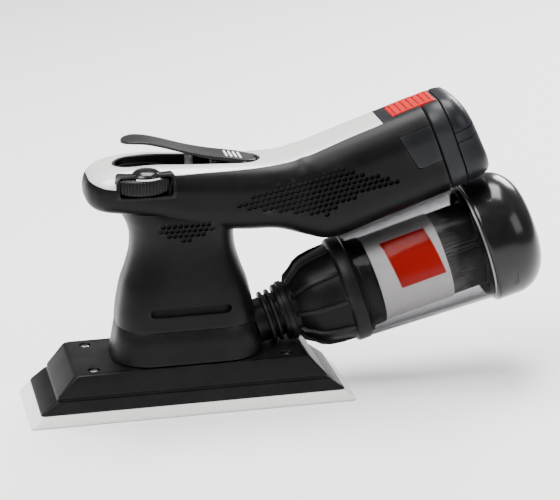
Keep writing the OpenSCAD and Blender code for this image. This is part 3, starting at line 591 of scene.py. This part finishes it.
def handleLoft(name, grow=0.0, extend=0.0, skip=0):
    rows = smoothRows(handleRows(), 5)[skip:]
    if extend:
        rows.append(list(raisedRow(housing["shellEnd"] + extend, 57, 19)))
    points = []
    for x, z, a, w, h, r in rows:
        c, s = math.cos(math.radians(a)), math.sin(math.radians(a))
        ring = roundedRing(w + 2 * grow, h + 2 * grow, max(0.6, r + grow), 12, 4)
        points += [(x - q * s, p, z + q * c) for p, q in ring]
    return newPiece(name, points, ringFaces(len(ring), len(rows)))


def bodyRows():
    a, b = 42, 29.25
    rows = [(0, a, b), (6, a - 0.5, b - 0.1), (12, a - 1.4, b - 0.4), (24, a - 4, b - 1),
            (34, a - 7.5, b - 2),
            (44, a - 10.2, b - 3), (53, a - 10.9, b - 3.4), (60, a - 9.6, b - 3.2), (65, a - 7.6, b - 2.9),
            (69, a - 5.2, b - 3.2),
            (72, a - 2.4, b - 3.8)]
    return [(seamZ + housing["seamGap"] + z, p, q) for z, p, q in rows]


def bodyLoft(name, grow=0.0, reach=0.0):
    rows = smoothRows(bodyRows(), 4)
    if reach:
        rows[0][0] -= reach
        rows[-1][0] += reach * 0.6
    return levelLoft(name, [(z, a + grow, b + grow, 23 + grow) for z, a, b in rows])


# silver cover: the part above this line, in side view
seamLine = [(-75, 147.5), (-57, 145.2), (-53, 143.6), (-47, 142.0), (-38, 141.4), (-30, 143.2),
            (-10, 145.2), (10, 146.0), (40, 146.2), (58, 146.2)]
coverPlan = [(-75, -40), (-12, -40), (-8, -24.0), (10, -22.0), (40, -19.4), (60, -17.0), (100, -15),
             (140, -14.5)]


def aboveSeam(name, drop, swell):
    p = housing["crest"] - 2.4
    tail = raisedOutline([(5, p), (61.5 + swell, p)])
    side = [(x, z - drop) for x, z in seamLine + tail]
    side += [alongRaised(61.5 + swell, 60), (-75, 240)]
    block = prism(name, side, -60, 60, sideways)
    plan = [(x, y - swell) for x, y in coverPlan] + [(x, -y + swell) for x, y in reversed(coverPlan)]
    return combine(block, prism("plan", plan, 60, 260, upright), "INTERSECT")


def leverHole(swell):
    low, high = nodeBox("lever_tray")
    outline = stadium(low.x - swell, high.x + swell, high.y - low.y + 2 * swell)
    return prism("leverHole", outline, 120, 230, upright)


dialLow, dialHigh = nodeBox("speed_dial")
dialX, dialY = (dialLow.x + dialHigh.x) / 2, (dialLow.y + dialHigh.y) / 2
dialR = (dialHigh.y - dialLow.y) / 2
window = dict(half=15.8, shift=1.2, above=0.7, below=0.8, rim=1.6, proud=2.2)


def windowBlock(name, grow, inner=-14.2):
    w, h = 2 * (window["half"] + grow), dialHigh.z - dialLow.z + window["above"] + window["below"] + 2 * grow
    z = (dialHigh.z + window["above"] + dialLow.z - window["below"]) / 2
    ring = [(dialX + window["shift"] + x, z + y) for x, y in roundedRing(w, h, 2.0 + grow * 0.4, 6, 2)]
    return prism(name, ring, -inner, 60, sideways)


def dialRoom():
    around = Matrix.Translation((dialX, dialY, 0))
    low, high, r = dialLow.z - 0.7, dialHigh.z + 0.35, dialR + 0.05
    room = [(0.001, low), (r, low), (r, high - 2.2), (r - 1.6, high), (0.001, high)]
    return revolve("dialRoom", room, around, 96)


def tabBlock(name, grow):
    # slanted panel on each side where the battery's flanks show
    corner = [(66.5, 12.6), (70.5, 12.6), (88.5, 12.6), (88.5, -10), (73.5, -10), (71, -8.6)]
    mid = (78, 1.5)
    out = []
    for t, p in corner:
        t = t + (grow if t > mid[0] else -grow)
        p = p + (grow if p > mid[1] else -grow)
        out.append(alongRaised(t, p))
    return prism(name, out, -60, 60, sideways)


def latchBlock(name, grow, start=62.0, half=13.5, deep=8.0):
    outline = raisedOutline([(start - grow, deep - grow), (120, deep - grow), (120, 60), (start - grow, 60)])
    return prism(name, outline, -half - grow, half + grow, sideways)


def hexCells(name, outline, pitch, depth, slant):
    # hexagonal pits laid over an outline on both flanks
    radius = pitch * 0.5
    xs, zs = [p[0] for p in outline], [p[1] for p in outline]
    cells = []
    c, s = math.cos(slant), math.sin(slant)
    cx, cz = sum(xs) / len(xs), sum(zs) / len(zs)
    for i in range(-40, 41):
        for j in range(-24, 25):
            u, v = (i + 0.5 * (j % 2)) * pitch, j * pitch * 0.866
            x, z = cx + u * c - v * s, cz + u * s + v * c
            if insideOutline(x, z, outline):
                ring = [(x + radius * math.cos(math.radians(60 * k + 30) + slant),
                         z + radius * math.sin(math.radians(60 * k + 30) + slant)) for k in range(6)]
                cells.append(ring)
    points, faces = [], []
    for side in (-1, 1):
        for ring in cells:
            start = len(points)
            points += [(x, side * depth[0], z) for x, z in ring] + [(x, side * depth[1], z) for x, z in ring]
            faces += [tuple(start + k for k in f) for f in ringFaces(6, 2)]
    return newPiece(name, points, faces)


def insideOutline(x, z, outline):
    inside = False
    for (x0, z0), (x1, z1) in zip(outline, outline[1:] + outline[:1]):
        if (z0 > z) != (z1 > z) and x < (x1 - x0) * (z - z0) / (z1 - z0) + x0:
            inside = not inside
    return inside


gripPatch = [(27.6, 126.5), (44.4, 122.7), (62.4, 120.2), (84.2, 117), (94.7, 124.8), (110, 129.8),
             (131, 136), (116, 139.3),
             (89, 146), (75, 144), (64, 142.2), (52.5, 136.8), (37.4, 131.9)]
neckPatch = [(-20, 114.7), (-14, 118.4), (1, 119.4), (16, 116.7), (21.7, 115), (9.6, 111), (1, 107.4),
             (-8.4, 108.8)]


def makeHousing():
    collar = levelLoft("collar", [
        (collarLow.z, 45.2, 29.7, 23.4), (collarLow.z + 0.5, 46, 30.5, 24), (collarLow.z + 1.6, 45.8, 30.4,
                                                                             24),
        (collarHigh.z - 9, 43.8, 29.85, 23.6), (collarHigh.z - 0.5, 42.1, 29.3, 23.3),
        (collarHigh.z, 41.7, 28.9, 23)])
    combine(collar, levelLoft("hollow", [(collarLow.z - 2, 43.4, 28, 21.5),
                                         (collarHigh.z + 2, 39.4, 26.8, 20.8)]))
    spoutAxis = canisterPlace()
    combine(collar, rod("way", 13.9, -30, 8, spoutAxis, 48))
    finishPiece(collar, skins["blackShell"], "housing", ["collar"], sharp=30)
    print("collar done")

    shell = combine(handleLoft("housingShell"), bodyLoft("bodyShell"), "UNION")
    skinOnly = copyOf(shell, "outerForm")
    combine(shell, handleLoft("handleHollow", -housing["wall"], 3, 10))
    combine(shell, bodyLoft("bodyHollow", -housing["wall"], 2.6))
    whole = copyOf(shell, "wholeShell")
    combine(shell, aboveSeam("coverTool", 0.22, 0.2))
    combine(shell, windowBlock("windowTool", window["rim"] + 0.15))
    combine(shell, dialRoom())
    combine(shell, tabBlock("tabTool", 0.35))
    combine(shell, latchBlock("latchTool", 0.3))
    slot = [(x, seamZ + 12 + y) for x, y in stadium(housing["slotFrom"], housing["slotTo"],
                                                    housing["slotHeight"], 12)]
    combine(shell, prism("slotTool", slot, -60, 60, sideways))
    combine(shell, rod("way", 14.1, -34, -2, spoutAxis, 48))
    print("shell cut")
    combine(shell, hexCells("gripCells", gripPatch, 3.6, (26.2, 40), tilt * 0.55))
    combine(shell, hexCells("neckCells", neckPatch, 3.4, (24.2, 40), 0.0))
    print("grip cells cut")
    for side, name, node in ((-1, "nearShell", "near_shell"), (1, "farShell", "far_shell")):
        half = copyOf(shell, name)
        block = [(-90, 0), (200, 0), (200, 260), (-90, 260)]
        low, high = (housing["parting"], 60) if side < 0 else (-60, -housing["parting"])
        # the exact solver can drop the far half, the manifold one keeps both
        combine(half, prism("halfTool", block, low, high, sideways), "INTERSECT", solver="MANIFOLD")
        finishPiece(half, skins["blackShell"], "housing", [node], sharp=34)
    bpy.data.objects.remove(shell)

    # painted shade: a near-black rubber sheet inside the body behind the vent slot, standing in for the shade
    # inside the housing
    low, high = seamZ + 6, seamZ + 20
    slotShadeSheet = levelLoft("slotShadeLining", [(z, 38.6 - 0.1 * (z - low), 26.1 - 0.03 * (z - low), 20.4)
                                      for z in (low, (low + high) / 2, high)])
    combine(slotShadeSheet, levelLoft("liningHollow", [(low - 1, 37.8, 25.3, 19.6), (high + 1, 36.2, 24.8, 19.6)]))
    finishPiece(slotShadeSheet, skins["softRubber"], "housing", sharp=40)

    cover = combine(copyOf(whole, "topCover"), aboveSeam("coverForm", -0.1, -0.05), "INTERSECT")
    combine(cover, leverHole(0.25))
    combine(cover, windowBlock("coverWindow", window["rim"] + 0.15))
    combine(cover, dialRoom())
    finishPiece(cover, skins["silverCover"], "housing", ["top_cover"], sharp=34)
    print("top cover done")

    bezel = combine(handleLoft("dialBezel", window["proud"]), handleLoft("bezelHollow", -housing["wall"], 3,
                                                                         6))
    combine(bezel, windowBlock("bezelForm", window["rim"]), "INTERSECT")
    combine(bezel, windowBlock("bezelWindow", 0.0, 0))
    combine(bezel, dialRoom())
    finishPiece(bezel, skins["dialBlack"], "housing", ["dial_bezel"], round=0.3,
                sharp=36)
    low, high, r = dialLow.z - 2.8, dialHigh.z + 0.3, dialR + 0.7
    cup = [(7.6, low), (r + 0.9, low), (r + 0.9, high), (r, high), (r, low + 1.8), (7.6, low + 1.8)]
    cup = revolve("dialCup", cup, Matrix.Translation((dialX, dialY, 0)), 96)
    combine(cup, handleLoft("cupForm", -0.5), "INTERSECT")
    finishPiece(cup, skins["softRubber"], "housing", sharp=40)
    bpy.data.objects.remove(whole)
    return skinOnly


def canisterPlace():
    joint = jointNamed("canister_slide")
    axis = Vector(joint["axis"]).normalized()
    cap = jointNamed("cap_twist")
    end = Vector(cap["pos_m"]) / mm
    start = end - axis * 131
    turn = Vector((0, 0, 1)).rotation_difference(axis).to_matrix().to_4x4()
    return Matrix.Translation(start) @ turn


outerForm = makeHousing()


# lever, tray and dial
lever = dict(front=1.7, rear=4.4, frontHalf=10.0, rearHalf=10.8, rows=64, markCount=4, markFrom=28.3,
             markPitch=2.8,
             markLength=6.4, markWidth=0.6)
# along the tool, height of the top face
leverLine = [(-34.4, 165.1), (-32, 165.5), (-28, 165.7), (-23, 165.4), (-17, 164.3), (-10, 162.3),
             (-1, 159.4), (8, 156.7),
             (18, 154.3), (28, 152.4), (37, 150.6), (43, 149.3), (46.8, 148.3)]
leverPath = smoothRows(leverLine, 6)


def leverHeight(x):
    for (x0, z0), (x1, z1) in zip(leverPath, leverPath[1:]):
        if x <= x1:
            return z0 + (z1 - z0) * (x - x0) / (x1 - x0)
    return leverPath[-1][1]


def leverHalf(x):
    start, end = leverLine[0][0], leverLine[-1][0]
    base = lever["frontHalf"] + (lever["rearHalf"] - lever["frontHalf"]) * (x - start) / (end - start)
    toEnd = min(x - start, end - x) + 0.02
    if toEnd < base:
        base = math.sqrt(base ** 2 - (base - toEnd) ** 2)
    return base


def makeLever():
    low, high = nodeBox("lever_tray")
    rim = stadium(low.x + 0.15, high.x - 0.15, high.y - low.y - 0.3)
    top = high.z + 0.6
    tray = prism("leverTray", rim, low.z, top, upright)
    combine(tray, prism("trayHollow", stadium(low.x + 1.5, high.x - 1.5, high.y - low.y - 3), low.z + 1.4,
                        top + 3, upright))
    form = handleLoft("trayForm", -0.35)
    combine(tray, form, "INTERSECT")
    finishPiece(tray, skins["dialBlack"], "housing", ["lever_tray"], round=0.25, sharp=40)
    start, end, count = leverLine[0][0], leverLine[-1][0], lever["rows"]
    rows = [start + (end - start) * (1 - math.cos(math.pi * k / count)) / 2 for k in range(count + 1)]
    points = []
    for x in rows:
        z, half = leverHeight(x), leverHalf(x)
        sag = 0.45 * min(1.0, half / 8)
        edge = min(half * 0.6, 0.9)
        thick = lever["front"] + (lever["rear"] - lever["front"]) * max(0.0, (x - 2) / 45)
        ring = [(-half + edge * 0.6, -thick), (-half, 0.5 - thick), (-half, -0.6),
                (-half + edge * 0.35, -0.15),
                (-half + edge, 0.0), (-half * 0.5, -sag * 0.75), (0, -sag)]
        ring += [(-y, q) for y, q in reversed(ring[:-1])]
        points += [(x, y, z + q) for y, q in ring]
    paddle = newPiece("paddleLever", points, ringFaces(len(ring), len(rows)))
    pinLow, pinHigh = nodeBox("lever_pin")
    hub = Matrix.Translation(((pinLow.x + pinHigh.x) / 2, 0, (pinLow.z + pinHigh.z) / 2)) @ sideways
    combine(paddle, revolve("hub", [(2.1, -9), (2.7, -9), (2.7, 9), (2.1, 9)], hub, 32), "UNION")
    finishPiece(paddle, skins["leverGrey"], "lever", ["paddle_lever"], sharp=42)
    marks = []
    for k in range(lever["markCount"]):
        x = lever["markFrom"] + k * lever["markPitch"]
        z, w, reach = leverHeight(x) - 0.4, lever["markWidth"], lever["markLength"]
        bar = levelLoft("mark", [(z - 0.8, w, reach, 0.5), (z + 0.3, w, reach, 0.5),
                                 (z + 0.5, w - 0.15, reach - 0.2, 0.4)])
        bar.data.transform(Matrix.Translation((x * mm, 0, 0)))
        marks.append(bar)
    finishPiece(joinAll("leverMarks", marks), skins["markWhite"], "lever", sharp=40)


leverSpring = dict(radius=3.0, wire=0.5, turns=4.0, steps=24, sides=8, keep=0.7)


def makeLeverSpring():
    s = leverSpring
    low, high = nodeBox("lever_spring")
    cx, rise, count = (low.x + high.x) / 2, high.z - low.z - 2 * s["wire"], int(s["turns"] * s["steps"])
    points = []
    for i in range(count + 1):
        a = 2 * math.pi * i / s["steps"]
        z = low.z + s["wire"] + rise * i / count
        for k in range(s["sides"]):
            b = 2 * math.pi * k / s["sides"]
            r = s["radius"] + s["wire"] * math.cos(b)
            points.append((cx + r * math.cos(a), r * math.sin(a), z + s["wire"] * math.sin(b)))
    coil = newPiece("leverSpring", points, ringFaces(s["sides"], count + 1))
    finishPiece(coil, skins["brightSteel"], "housing", ["lever_spring"], sharp=60)
    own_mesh(coil)


def makeDial():
    ribs, steps = 60, 8
    outline = []
    for i in range(ribs * steps):
        a = 2 * math.pi * i / (ribs * steps)
        wave = math.cos(ribs * a)
        outline.append((a, 0.5 * max(-0.35, wave)))
    levels = [(0.0, -1.6, 0.0), (0.5, -0.7, 0.3), (1.2, -0.15, 1.0), (2.0, 0.0, 1.0)]
    height = dialHigh.z - dialLow.z
    levels += [(height - z, inset, ribbed) for z, inset, ribbed in reversed(levels)]
    points = []
    for z, inset, ribbed in levels:
        points += [(dialX + (dialR - 0.6 + inset + d * ribbed) * math.cos(a),
                    dialY + (dialR - 0.6 + inset + d * ribbed) * math.sin(a),
                    dialLow.z + z) for a, d in outline]
    wheel = newPiece("speedDial", points, ringFaces(len(outline), len(levels)))
    axle = Matrix.Translation((dialX, dialY, dialLow.z))
    combine(wheel, rod("bore", 2.54, -3, 20, axle, 32))
    finishPiece(wheel, skins["dialBlack"], "dial", ["speed_dial"], sharp=40)
    at = Matrix.Translation((dialX + 2.2, dialY - 7.4, dialHigh.z + 0.9))
    dome = [(0.001, -0.7), (9.6, -0.7), (9.6, 0.0), (9.2, 0.7), (7.9, 1.9), (5.6, 2.9), (2.8, 3.4),
            (0.001, 3.5)]
    cap = revolve("dialHood", dome, at, 72)
    finishPiece(cap, skins["blackGloss"], "housing", sharp=50)
    arc = [(math.radians(a), r) for r, angles in ((11.6, range(-128, -51, 4)), (10.7, range(-52, -129, -4)))
           for a in angles]
    ring = [(dialX + 2.2 + r * math.cos(a), dialY - 7.4 + r * math.sin(a)) for a, r in arc]
    mark = prism("dialScale", ring, dialHigh.z + 0.1, dialHigh.z + 0.65, upright)
    finishPiece(mark, skins["markWhite"], "housing", sharp=40)


makeLever()
makeLeverSpring()
makeDial()
print("controls done")


# battery
battery = dict(blockStart=88.0, blockEnd=114.0, stepAt=98.0, latchStart=69.0, latchEnd=97.0, ribCount=6)


def blockLoft(name, rows, grow=0.0):
    # distance along the raised axis, trim all round, corner radius, drop of the centre, lean of the end
    mid = (housing["underside"] + housing["crest"]) / 2
    w, h = 57.0, housing["crest"] - housing["underside"]
    points = []
    for t, trim, r, drop, lean in rows:
        ring = roundedRing(w - 2 * trim + 2 * grow, h - 2 * trim + 2 * grow, r + grow, 12, 4)
        for y, q in ring:
            x, z = alongRaised(t - lean * (q / (h / 2)), mid - drop + q)
            points.append((x, y, z))
    return newPiece(name, points, ringFaces(len(ring), len(rows)))


def makeBattery():
    b = battery
    case = blockLoft("batteryCase", [(b["blockStart"] - 0.6, 1.6, 17, 0, 0),
                                     (b["blockStart"], 0.9, 18, 0, 0), (b["blockStart"] + 0.8, 0.45, 18.5,
                                                                        0, 0),
                                     (b["stepAt"] - 0.6, 0.45, 18.5, 0, 0), (b["stepAt"], 1.1, 18, 0, 0)])
    inner = blockLoft("cellBox", [(46.0, 7.8, 7, 0, 0), (46.8, 6.9, 8, 0, 0),
                                  (b["stepAt"] - 1, 6.9, 8, 0, 0)])
    combine(case, inner, "UNION")
    flank = combine(copyOf(outerForm, "flank"), tabBlock("flankForm", 0.0), "INTERSECT")
    combine(flank, handleLoft("flankHollow", -3.4, 3, 10))
    tongue = combine(copyOf(outerForm, "tongue"), latchBlock("tongueForm", 0.0), "INTERSECT")
    case = joinAll("batteryCase1", [case, flank, tongue])
    latchLow, latchHigh = nodeBox("battery_release")
    start, end = b["latchStart"] - 0.35, b["latchEnd"] + 0.35
    well = raisedOutline([(start, 15), (end, 15), (end, 60), (start, 60)])
    combine(case, prism("latchWell", well, latchLow.y - 0.35, latchHigh.y + 0.35, sideways))
    case.name = "batteryCase"
    finishPiece(case, skins["batteryShell"], "battery", ["battery_case"], sharp=34)
    end = blockLoft("batteryEnd", [
        (b["stepAt"] + 0.25, 1.3, 18, 0, 0), (b["stepAt"] + 0.7, 0.6, 18.5, 0, 0),
        (b["stepAt"] + 1.6, 0.5, 18.5, 0, 0),
        (b["blockEnd"] - 12, 0.6, 18.5, 0, 0.2), (b["blockEnd"] - 7, 1.3, 18, 0.3, 1.2),
        (b["blockEnd"] - 3.6, 3.4, 17, 1.0, 2.2),
        (b["blockEnd"] - 1.6, 6.0, 15, 1.8, 2.4), (b["blockEnd"] - 0.5, 9.2, 12, 2.6, 2.2),
        (b["blockEnd"], 13, 9, 3.2, 1.6)])
    combine(end, prism("latchWell", well, latchLow.y - 0.35, latchHigh.y + 0.35, sideways))
    for level in (3.0, -3.4):
        near, far = b["stepAt"] - 3, b["blockEnd"] + 4
        outline = raisedOutline([(near, level), (far, level), (far, level - 0.8), (near, level - 0.8)])
        groove = prism("groove", outline, -60, 60, sideways)
        combine(groove, blockLoft("grooveCore", [(b["stepAt"] - 6, 1.0, 18, 0, 0),
                                                 (b["blockEnd"] - 11, 1.1, 18, 0, 0),
                                                 (b["blockEnd"] - 4.5, 3.4, 17, 1, 2),
                                                 (b["blockEnd"] - 1, 10, 12, 2.6, 2)]))
        combine(end, groove)
    finishPiece(end, skins["batteryShell"], "battery", ["battery_end_cover"], sharp=34)

    start, stop = b["latchStart"], b["latchEnd"]
    button = raisedOutline([(start, 17.8), (stop, 17.8), (stop, 21.2), (stop - 2.5, 22.0),
                            (start + 1.5, 22.0),
                            (start, 21.3)])
    latch = prism("batteryRelease", button, latchLow.y, latchHigh.y, sideways)
    pitch = (b["latchEnd"] - b["latchStart"] - 5) / b["ribCount"]
    for k in range(b["ribCount"] + 1):
        t = b["latchStart"] + 2.2 + k * pitch
        valley = raisedOutline([(t - 0.9, 24), (t + 0.9, 24), (t + 0.35, 20.9), (t - 0.35, 20.9)])
        combine(latch, prism("valley", valley, -9.4, 9.4, sideways))
    finishPiece(latch, skins["latchRed"], "release", ["battery_release"], round=0.35, sharp=30)


makeBattery()
bpy.data.objects.remove(outerForm)
print("battery done")


# dust canister
canister = dict(spoutR=13.5, neckR=17.8, mouthAt=51.0, length=80.0, mouthR=32.5, farR=36.5, wall=1.8,
                capR=38.9, capLength=35.0,
                finCount=10, pleatCount=72, filterR=26.4, pleatDeep=4.6, bandFrom=61.0, bandTo=107.0,
                labelFrom=75.6, labelTo=104.3, labelSkew=3.5)
canPlace = canisterPlace()


def arcPatch(name, r0, r1, s0, s1, from_, to, steps=28, skew=0.0):
    points = []
    for i in range(steps + 1):
        a = math.radians(from_ + (to - from_) * i / steps)
        slide = skew * i / steps
        for r, s in ((r0, s0), (r0, s1), (r1, s1), (r1, s0)):
            points.append(canPlace @ Vector((-r * math.sin(a), -r * math.cos(a), s - slide)))
    return newPiece(name, points, ringFaces(4, steps + 1))


def makeCanister():
    c = canister
    r = c["spoutR"]
    spout = [(r - 2, -14), (r, -14), (r, -7.4), (r + 2.2, -7.2), (r + 3, -6.6), (r + 3, -5.2),
             (r + 2.2, -4.6), (r + 0.4, -4.4),
             (r + 0.4, -3.0), (r + 2.4, -2.6), (r + 3, -2.0), (r + 3, -0.8), (r + 2.2, -0.2), (r, 0),
             (r, 3.9), (r - 0.8, 4), (r - 0.8, 6),
             (r, 6.1), (r, 7.9), (r - 0.8, 8), (r - 0.8, 10), (r, 10.1), (r - 0.5, 12), (r - 2, 12)]
    finishPiece(revolve("dustSpout", spout, canPlace), skins["blackBase"], "housing",
                ["dust_spout"], sharp=34)
    n, m = c["neckR"], c["mouthR"]
    inner = r + 1
    adapter = [(inner, 2), (n - 0.8, 2), (n, 2.7), (n, 5), (n + 0.9, 5.4), (n + 0.9, 8.4), (n, 8.8),
               (n, 12.2), (n + 1.2, 13.4), (n + 2.8, 14.6),
               (22.6, 17.4), (25.4, 20.6), (27.2, 25), (28.4, 31), (29.2, 37), (m - 2.6, 40.4),
               (m - 2.2, 41.4), (m - 0.2, 42.4), (m + 0.5, 43.4),
               (m + 0.5, 50), (m - 0.2, 50.7), (m - 4.6, 50.7), (m - 4.6, 41), (m - 7.2, 28), (21.4, 20.4),
               (inner, 14)]
    funnel = revolve("dustAdapter", adapter, canPlace)
    for k in range(c["finCount"]):
        turn = canPlace @ Matrix.Rotation(2 * math.pi * (k + 0.35) / c["finCount"], 4,
                                          "Z") @ Matrix.Rotation(math.radians(90), 4, "X")
        fin = [(16.5, 9.5), (n + 3.4, 11.6), (24.2, 16.6), (27.2, 20.2), (29.2, 25), (30.4, 33),
               (30.8, 41.5), (26.5, 41.5), (22, 24)]
        combine(funnel, prism("fin", fin, -1.1, 1.1, turn), "UNION")
    finishPiece(funnel, skins["blackBase"], "canister", ["dust_adapter"], round=0.35,
                sharp=36)
    s0, f, w = c["mouthAt"], c["farR"], c["wall"]
    far = s0 + c["length"]
    tube = [(m - w, s0), (m - 0.2, s0), (m, s0 + 0.3), (f - 0.3, far - 3), (f, far - 0.2), (f - w, far - 0.2),
            (f - w - 0.2, far - 3)]
    finishPiece(revolve("clearContainer", tube, canPlace, 128), skins["clearWall"], "canister",
                ["clear_container"], sharp=40)
    band = [(f + 0.1, far - 1.0), (f + 0.5, far - 0.9), (f + 0.6, far - 0.4), (f + 0.5, far + 0.1),
            (f + 0.1, far + 0.1)]
    finishPiece(revolve("rimRing", band, canPlace, 128), skins["stackIron"], "canister", sharp=50)

    k = c["capR"]
    cap = [(k - 2.4, 0.3), (k - 0.8, 0.3), (k - 0.2, 0.9), (k, 2.4), (k, 11.5)]
    cap += [(k - 20.6 + 20.6 * math.cos(a), 15 + 20 * math.sin(a))
            for a in [math.radians(6 * i) for i in range(16)]]
    cap += [(0.001, c["capLength"]), (0.001, c["capLength"] - 2.4)]
    cap += [(k - 21 + 18.4 * math.cos(a), 15 + 17.6 * math.sin(a))
            for a in [math.radians(6 * i) for i in range(15, -1, -1)]]
    dome = revolve("endCap", [(p, far + q) for p, q in cap], canPlace, 128)
    for a in (-62, 28, 118, 208):
        turn = canPlace @ Matrix.Rotation(math.radians(a), 4, "Z")
        ring = [(x, far + 12 + y) for x, y in stadium(-6.5, 6.5, 3.2, 10)]
        combine(dome, prism("gripMark", ring, k - 0.5, k + 3, turn @ sideways))
    finishPiece(dome, skins["blackGloss"], "cap", ["end_cap"], sharp=40)

    start, length = s0 + 12, c["length"] - 14
    ring = []
    for i in range(2 * c["pleatCount"]):
        a = math.pi * i / c["pleatCount"]
        q = c["filterR"] - (i % 2) * c["pleatDeep"]
        ring.append((q * math.cos(a), q * math.sin(a)))
    pleatsPiece = prism("filterPleats", ring, start, start + length, canPlace)
    finishPiece(pleatsPiece, skins["capDarkenedPaper"], "canister",
                ["filter_pleats", "filter_core"], round=0.16, sharp=60, steps=1)
    g = c["filterR"]
    band = [(g + 0.1, c["bandFrom"]), (g + 0.55, c["bandFrom"] + 0.1), (g + 0.55, c["bandTo"] - 0.1),
            (g + 0.1, c["bandTo"])]
    finishPiece(revolve("filterSleeve", band, canPlace, 128), skins["filterPaper"], "canister",
                sharp=50)
    label = arcPatch("filterLabel", g + 0.5, g + 0.8, c["labelFrom"], c["labelTo"], -4, 64, 30,
                     c["labelSkew"])
    finishPiece(label, skins["labelRed"], "canister", sharp=50)
    plates = [[(9, start - 3.4), (g + 0.6, start - 3.4), (g + 1.2, start - 2.8), (g + 1.2, start - 0.6),
               (g + 0.7, start - 0.1), (9, start - 0.1)],
              [(m - 5.4, start - 8.6), (m - 4.8, start - 8.6), (m - 4.6, start - 3), (m - 5.4, start - 3)],
              [(0.001, start + length), (g + 0.8, start + length), (g + 1.2, start + length + 0.5),
               (g + 1.2, start + length + 2.6), (0.001, start + length + 3)]]
    ends = joinAll("filterEnds", [revolve("end", p, canPlace) for p in plates])
    finishPiece(ends, skins["blackBase"], "canister", ["filter_end_plates"], sharp=40)


makeCanister()
print("canister done")


# pieces carried over from the frame
slotSkin = {
    "black_plastic": "blackShell", "dark_plastic": "dialBlack", "gloss_black_plastic": "blackGloss",
    "pale_plastic": "paleMoulding",
    "silver_plastic": "silverCover", "battery_plastic": "batteryShell", "red_plastic": "latchRed",
    "clear_plastic": "clearWall",
    "filter_paper": "filterPaper", "black_rubber": "softRubber", "steel": "brightSteel",
    "iron": "stackIron", "cast_alloy": "castAlloy",
    "copper_wire": "copperWire", "contact_metal": "goldContact", "cell_wrap": "cellSleeve",
    "circuit_board": "boardGreen",
    "pad_foam": "padFoam"}
for row in frame["record"]["subparts"]:
    carried = frame["nodes"][row["node"]]
    if not carried.hide_render:
        carried.data.materials.clear()
        carried.data.materials.append(skins[slotSkin[row["material_slot"]]])
print("carried nodes dressed")


# floor, lights, camera
studio = dict(floorSize=14.0, lens=160.7, eye=(-0.218, -1.419, 0.553))


def makeStudio():
    half = studio["floorSize"] / 2
    mesh = bpy.data.meshes.new("floor")
    mesh.from_pydata([(-half, -half, 0), (half, -half, 0), (half, half, 0), (-half, half, 0)], [],
                     [(0, 1, 2, 3)])
    floor = bpy.data.objects.new("floor", mesh)
    bpy.context.scene.collection.objects.link(floor)
    paint = bpy.data.materials.new("palePaint")
    paint.use_nodes = True
    paint.node_tree.nodes["Principled BSDF"].inputs["Base Color"].default_value = (0.86, 0.86, 0.86, 1)
    paint.node_tree.nodes["Principled BSDF"].inputs["Roughness"].default_value = 0.75
    mesh.materials.append(paint)
    world = bpy.data.worlds.new("studio")
    bpy.context.scene.world = world
    world.use_nodes = True
    world.node_tree.nodes["Background"].inputs["Color"].default_value = (1.0, 1.0, 1.0, 1)
    world.node_tree.nodes["Background"].inputs["Strength"].default_value = 0.42
    lights = [("keyLight", (-0.8, -0.5, 1.4), 0.9, 42), ("fillLight", (1.3, -1.1, 1.0), 0.9, 10),
              ("topLight", (0.15, 0.35, 1.5), 0.9, 52),
              ("rimLight", (0.9, 1.1, 0.7), 0.5, 18)]
    for name, place, size, power in lights:
        lamp = bpy.data.lights.new(name, "AREA")
        lamp.size = size
        lamp.energy = power
        holder = bpy.data.objects.new(name, lamp)
        holder.location = place
        holder.rotation_euler = (Vector((0.05, 0, 0.08)) - Vector(place)).to_track_quat("-Z", "Y").to_euler()
        bpy.context.scene.collection.objects.link(holder)
    camera = bpy.data.cameras.new("camera")
    camera.lens = studio["lens"]
    camera.sensor_width = 36
    camera.clip_end = 30
    eye = bpy.data.objects.new("camera", camera)
    right, up, back = Vector((0.9798, -0.1989, -0.0204)), Vector((0.0799, 0.2958,
                                                                  0.9519)), Vector((-0.1833, -0.9343, 0.3057))
    turn = Matrix((right, up, back)).transposed().to_4x4()
    eye.matrix_world = Matrix.Translation(studio["eye"]) @ turn
    bpy.context.scene.collection.objects.link(eye)
    bpy.context.scene.camera = eye


makeStudio()
print("studio set")
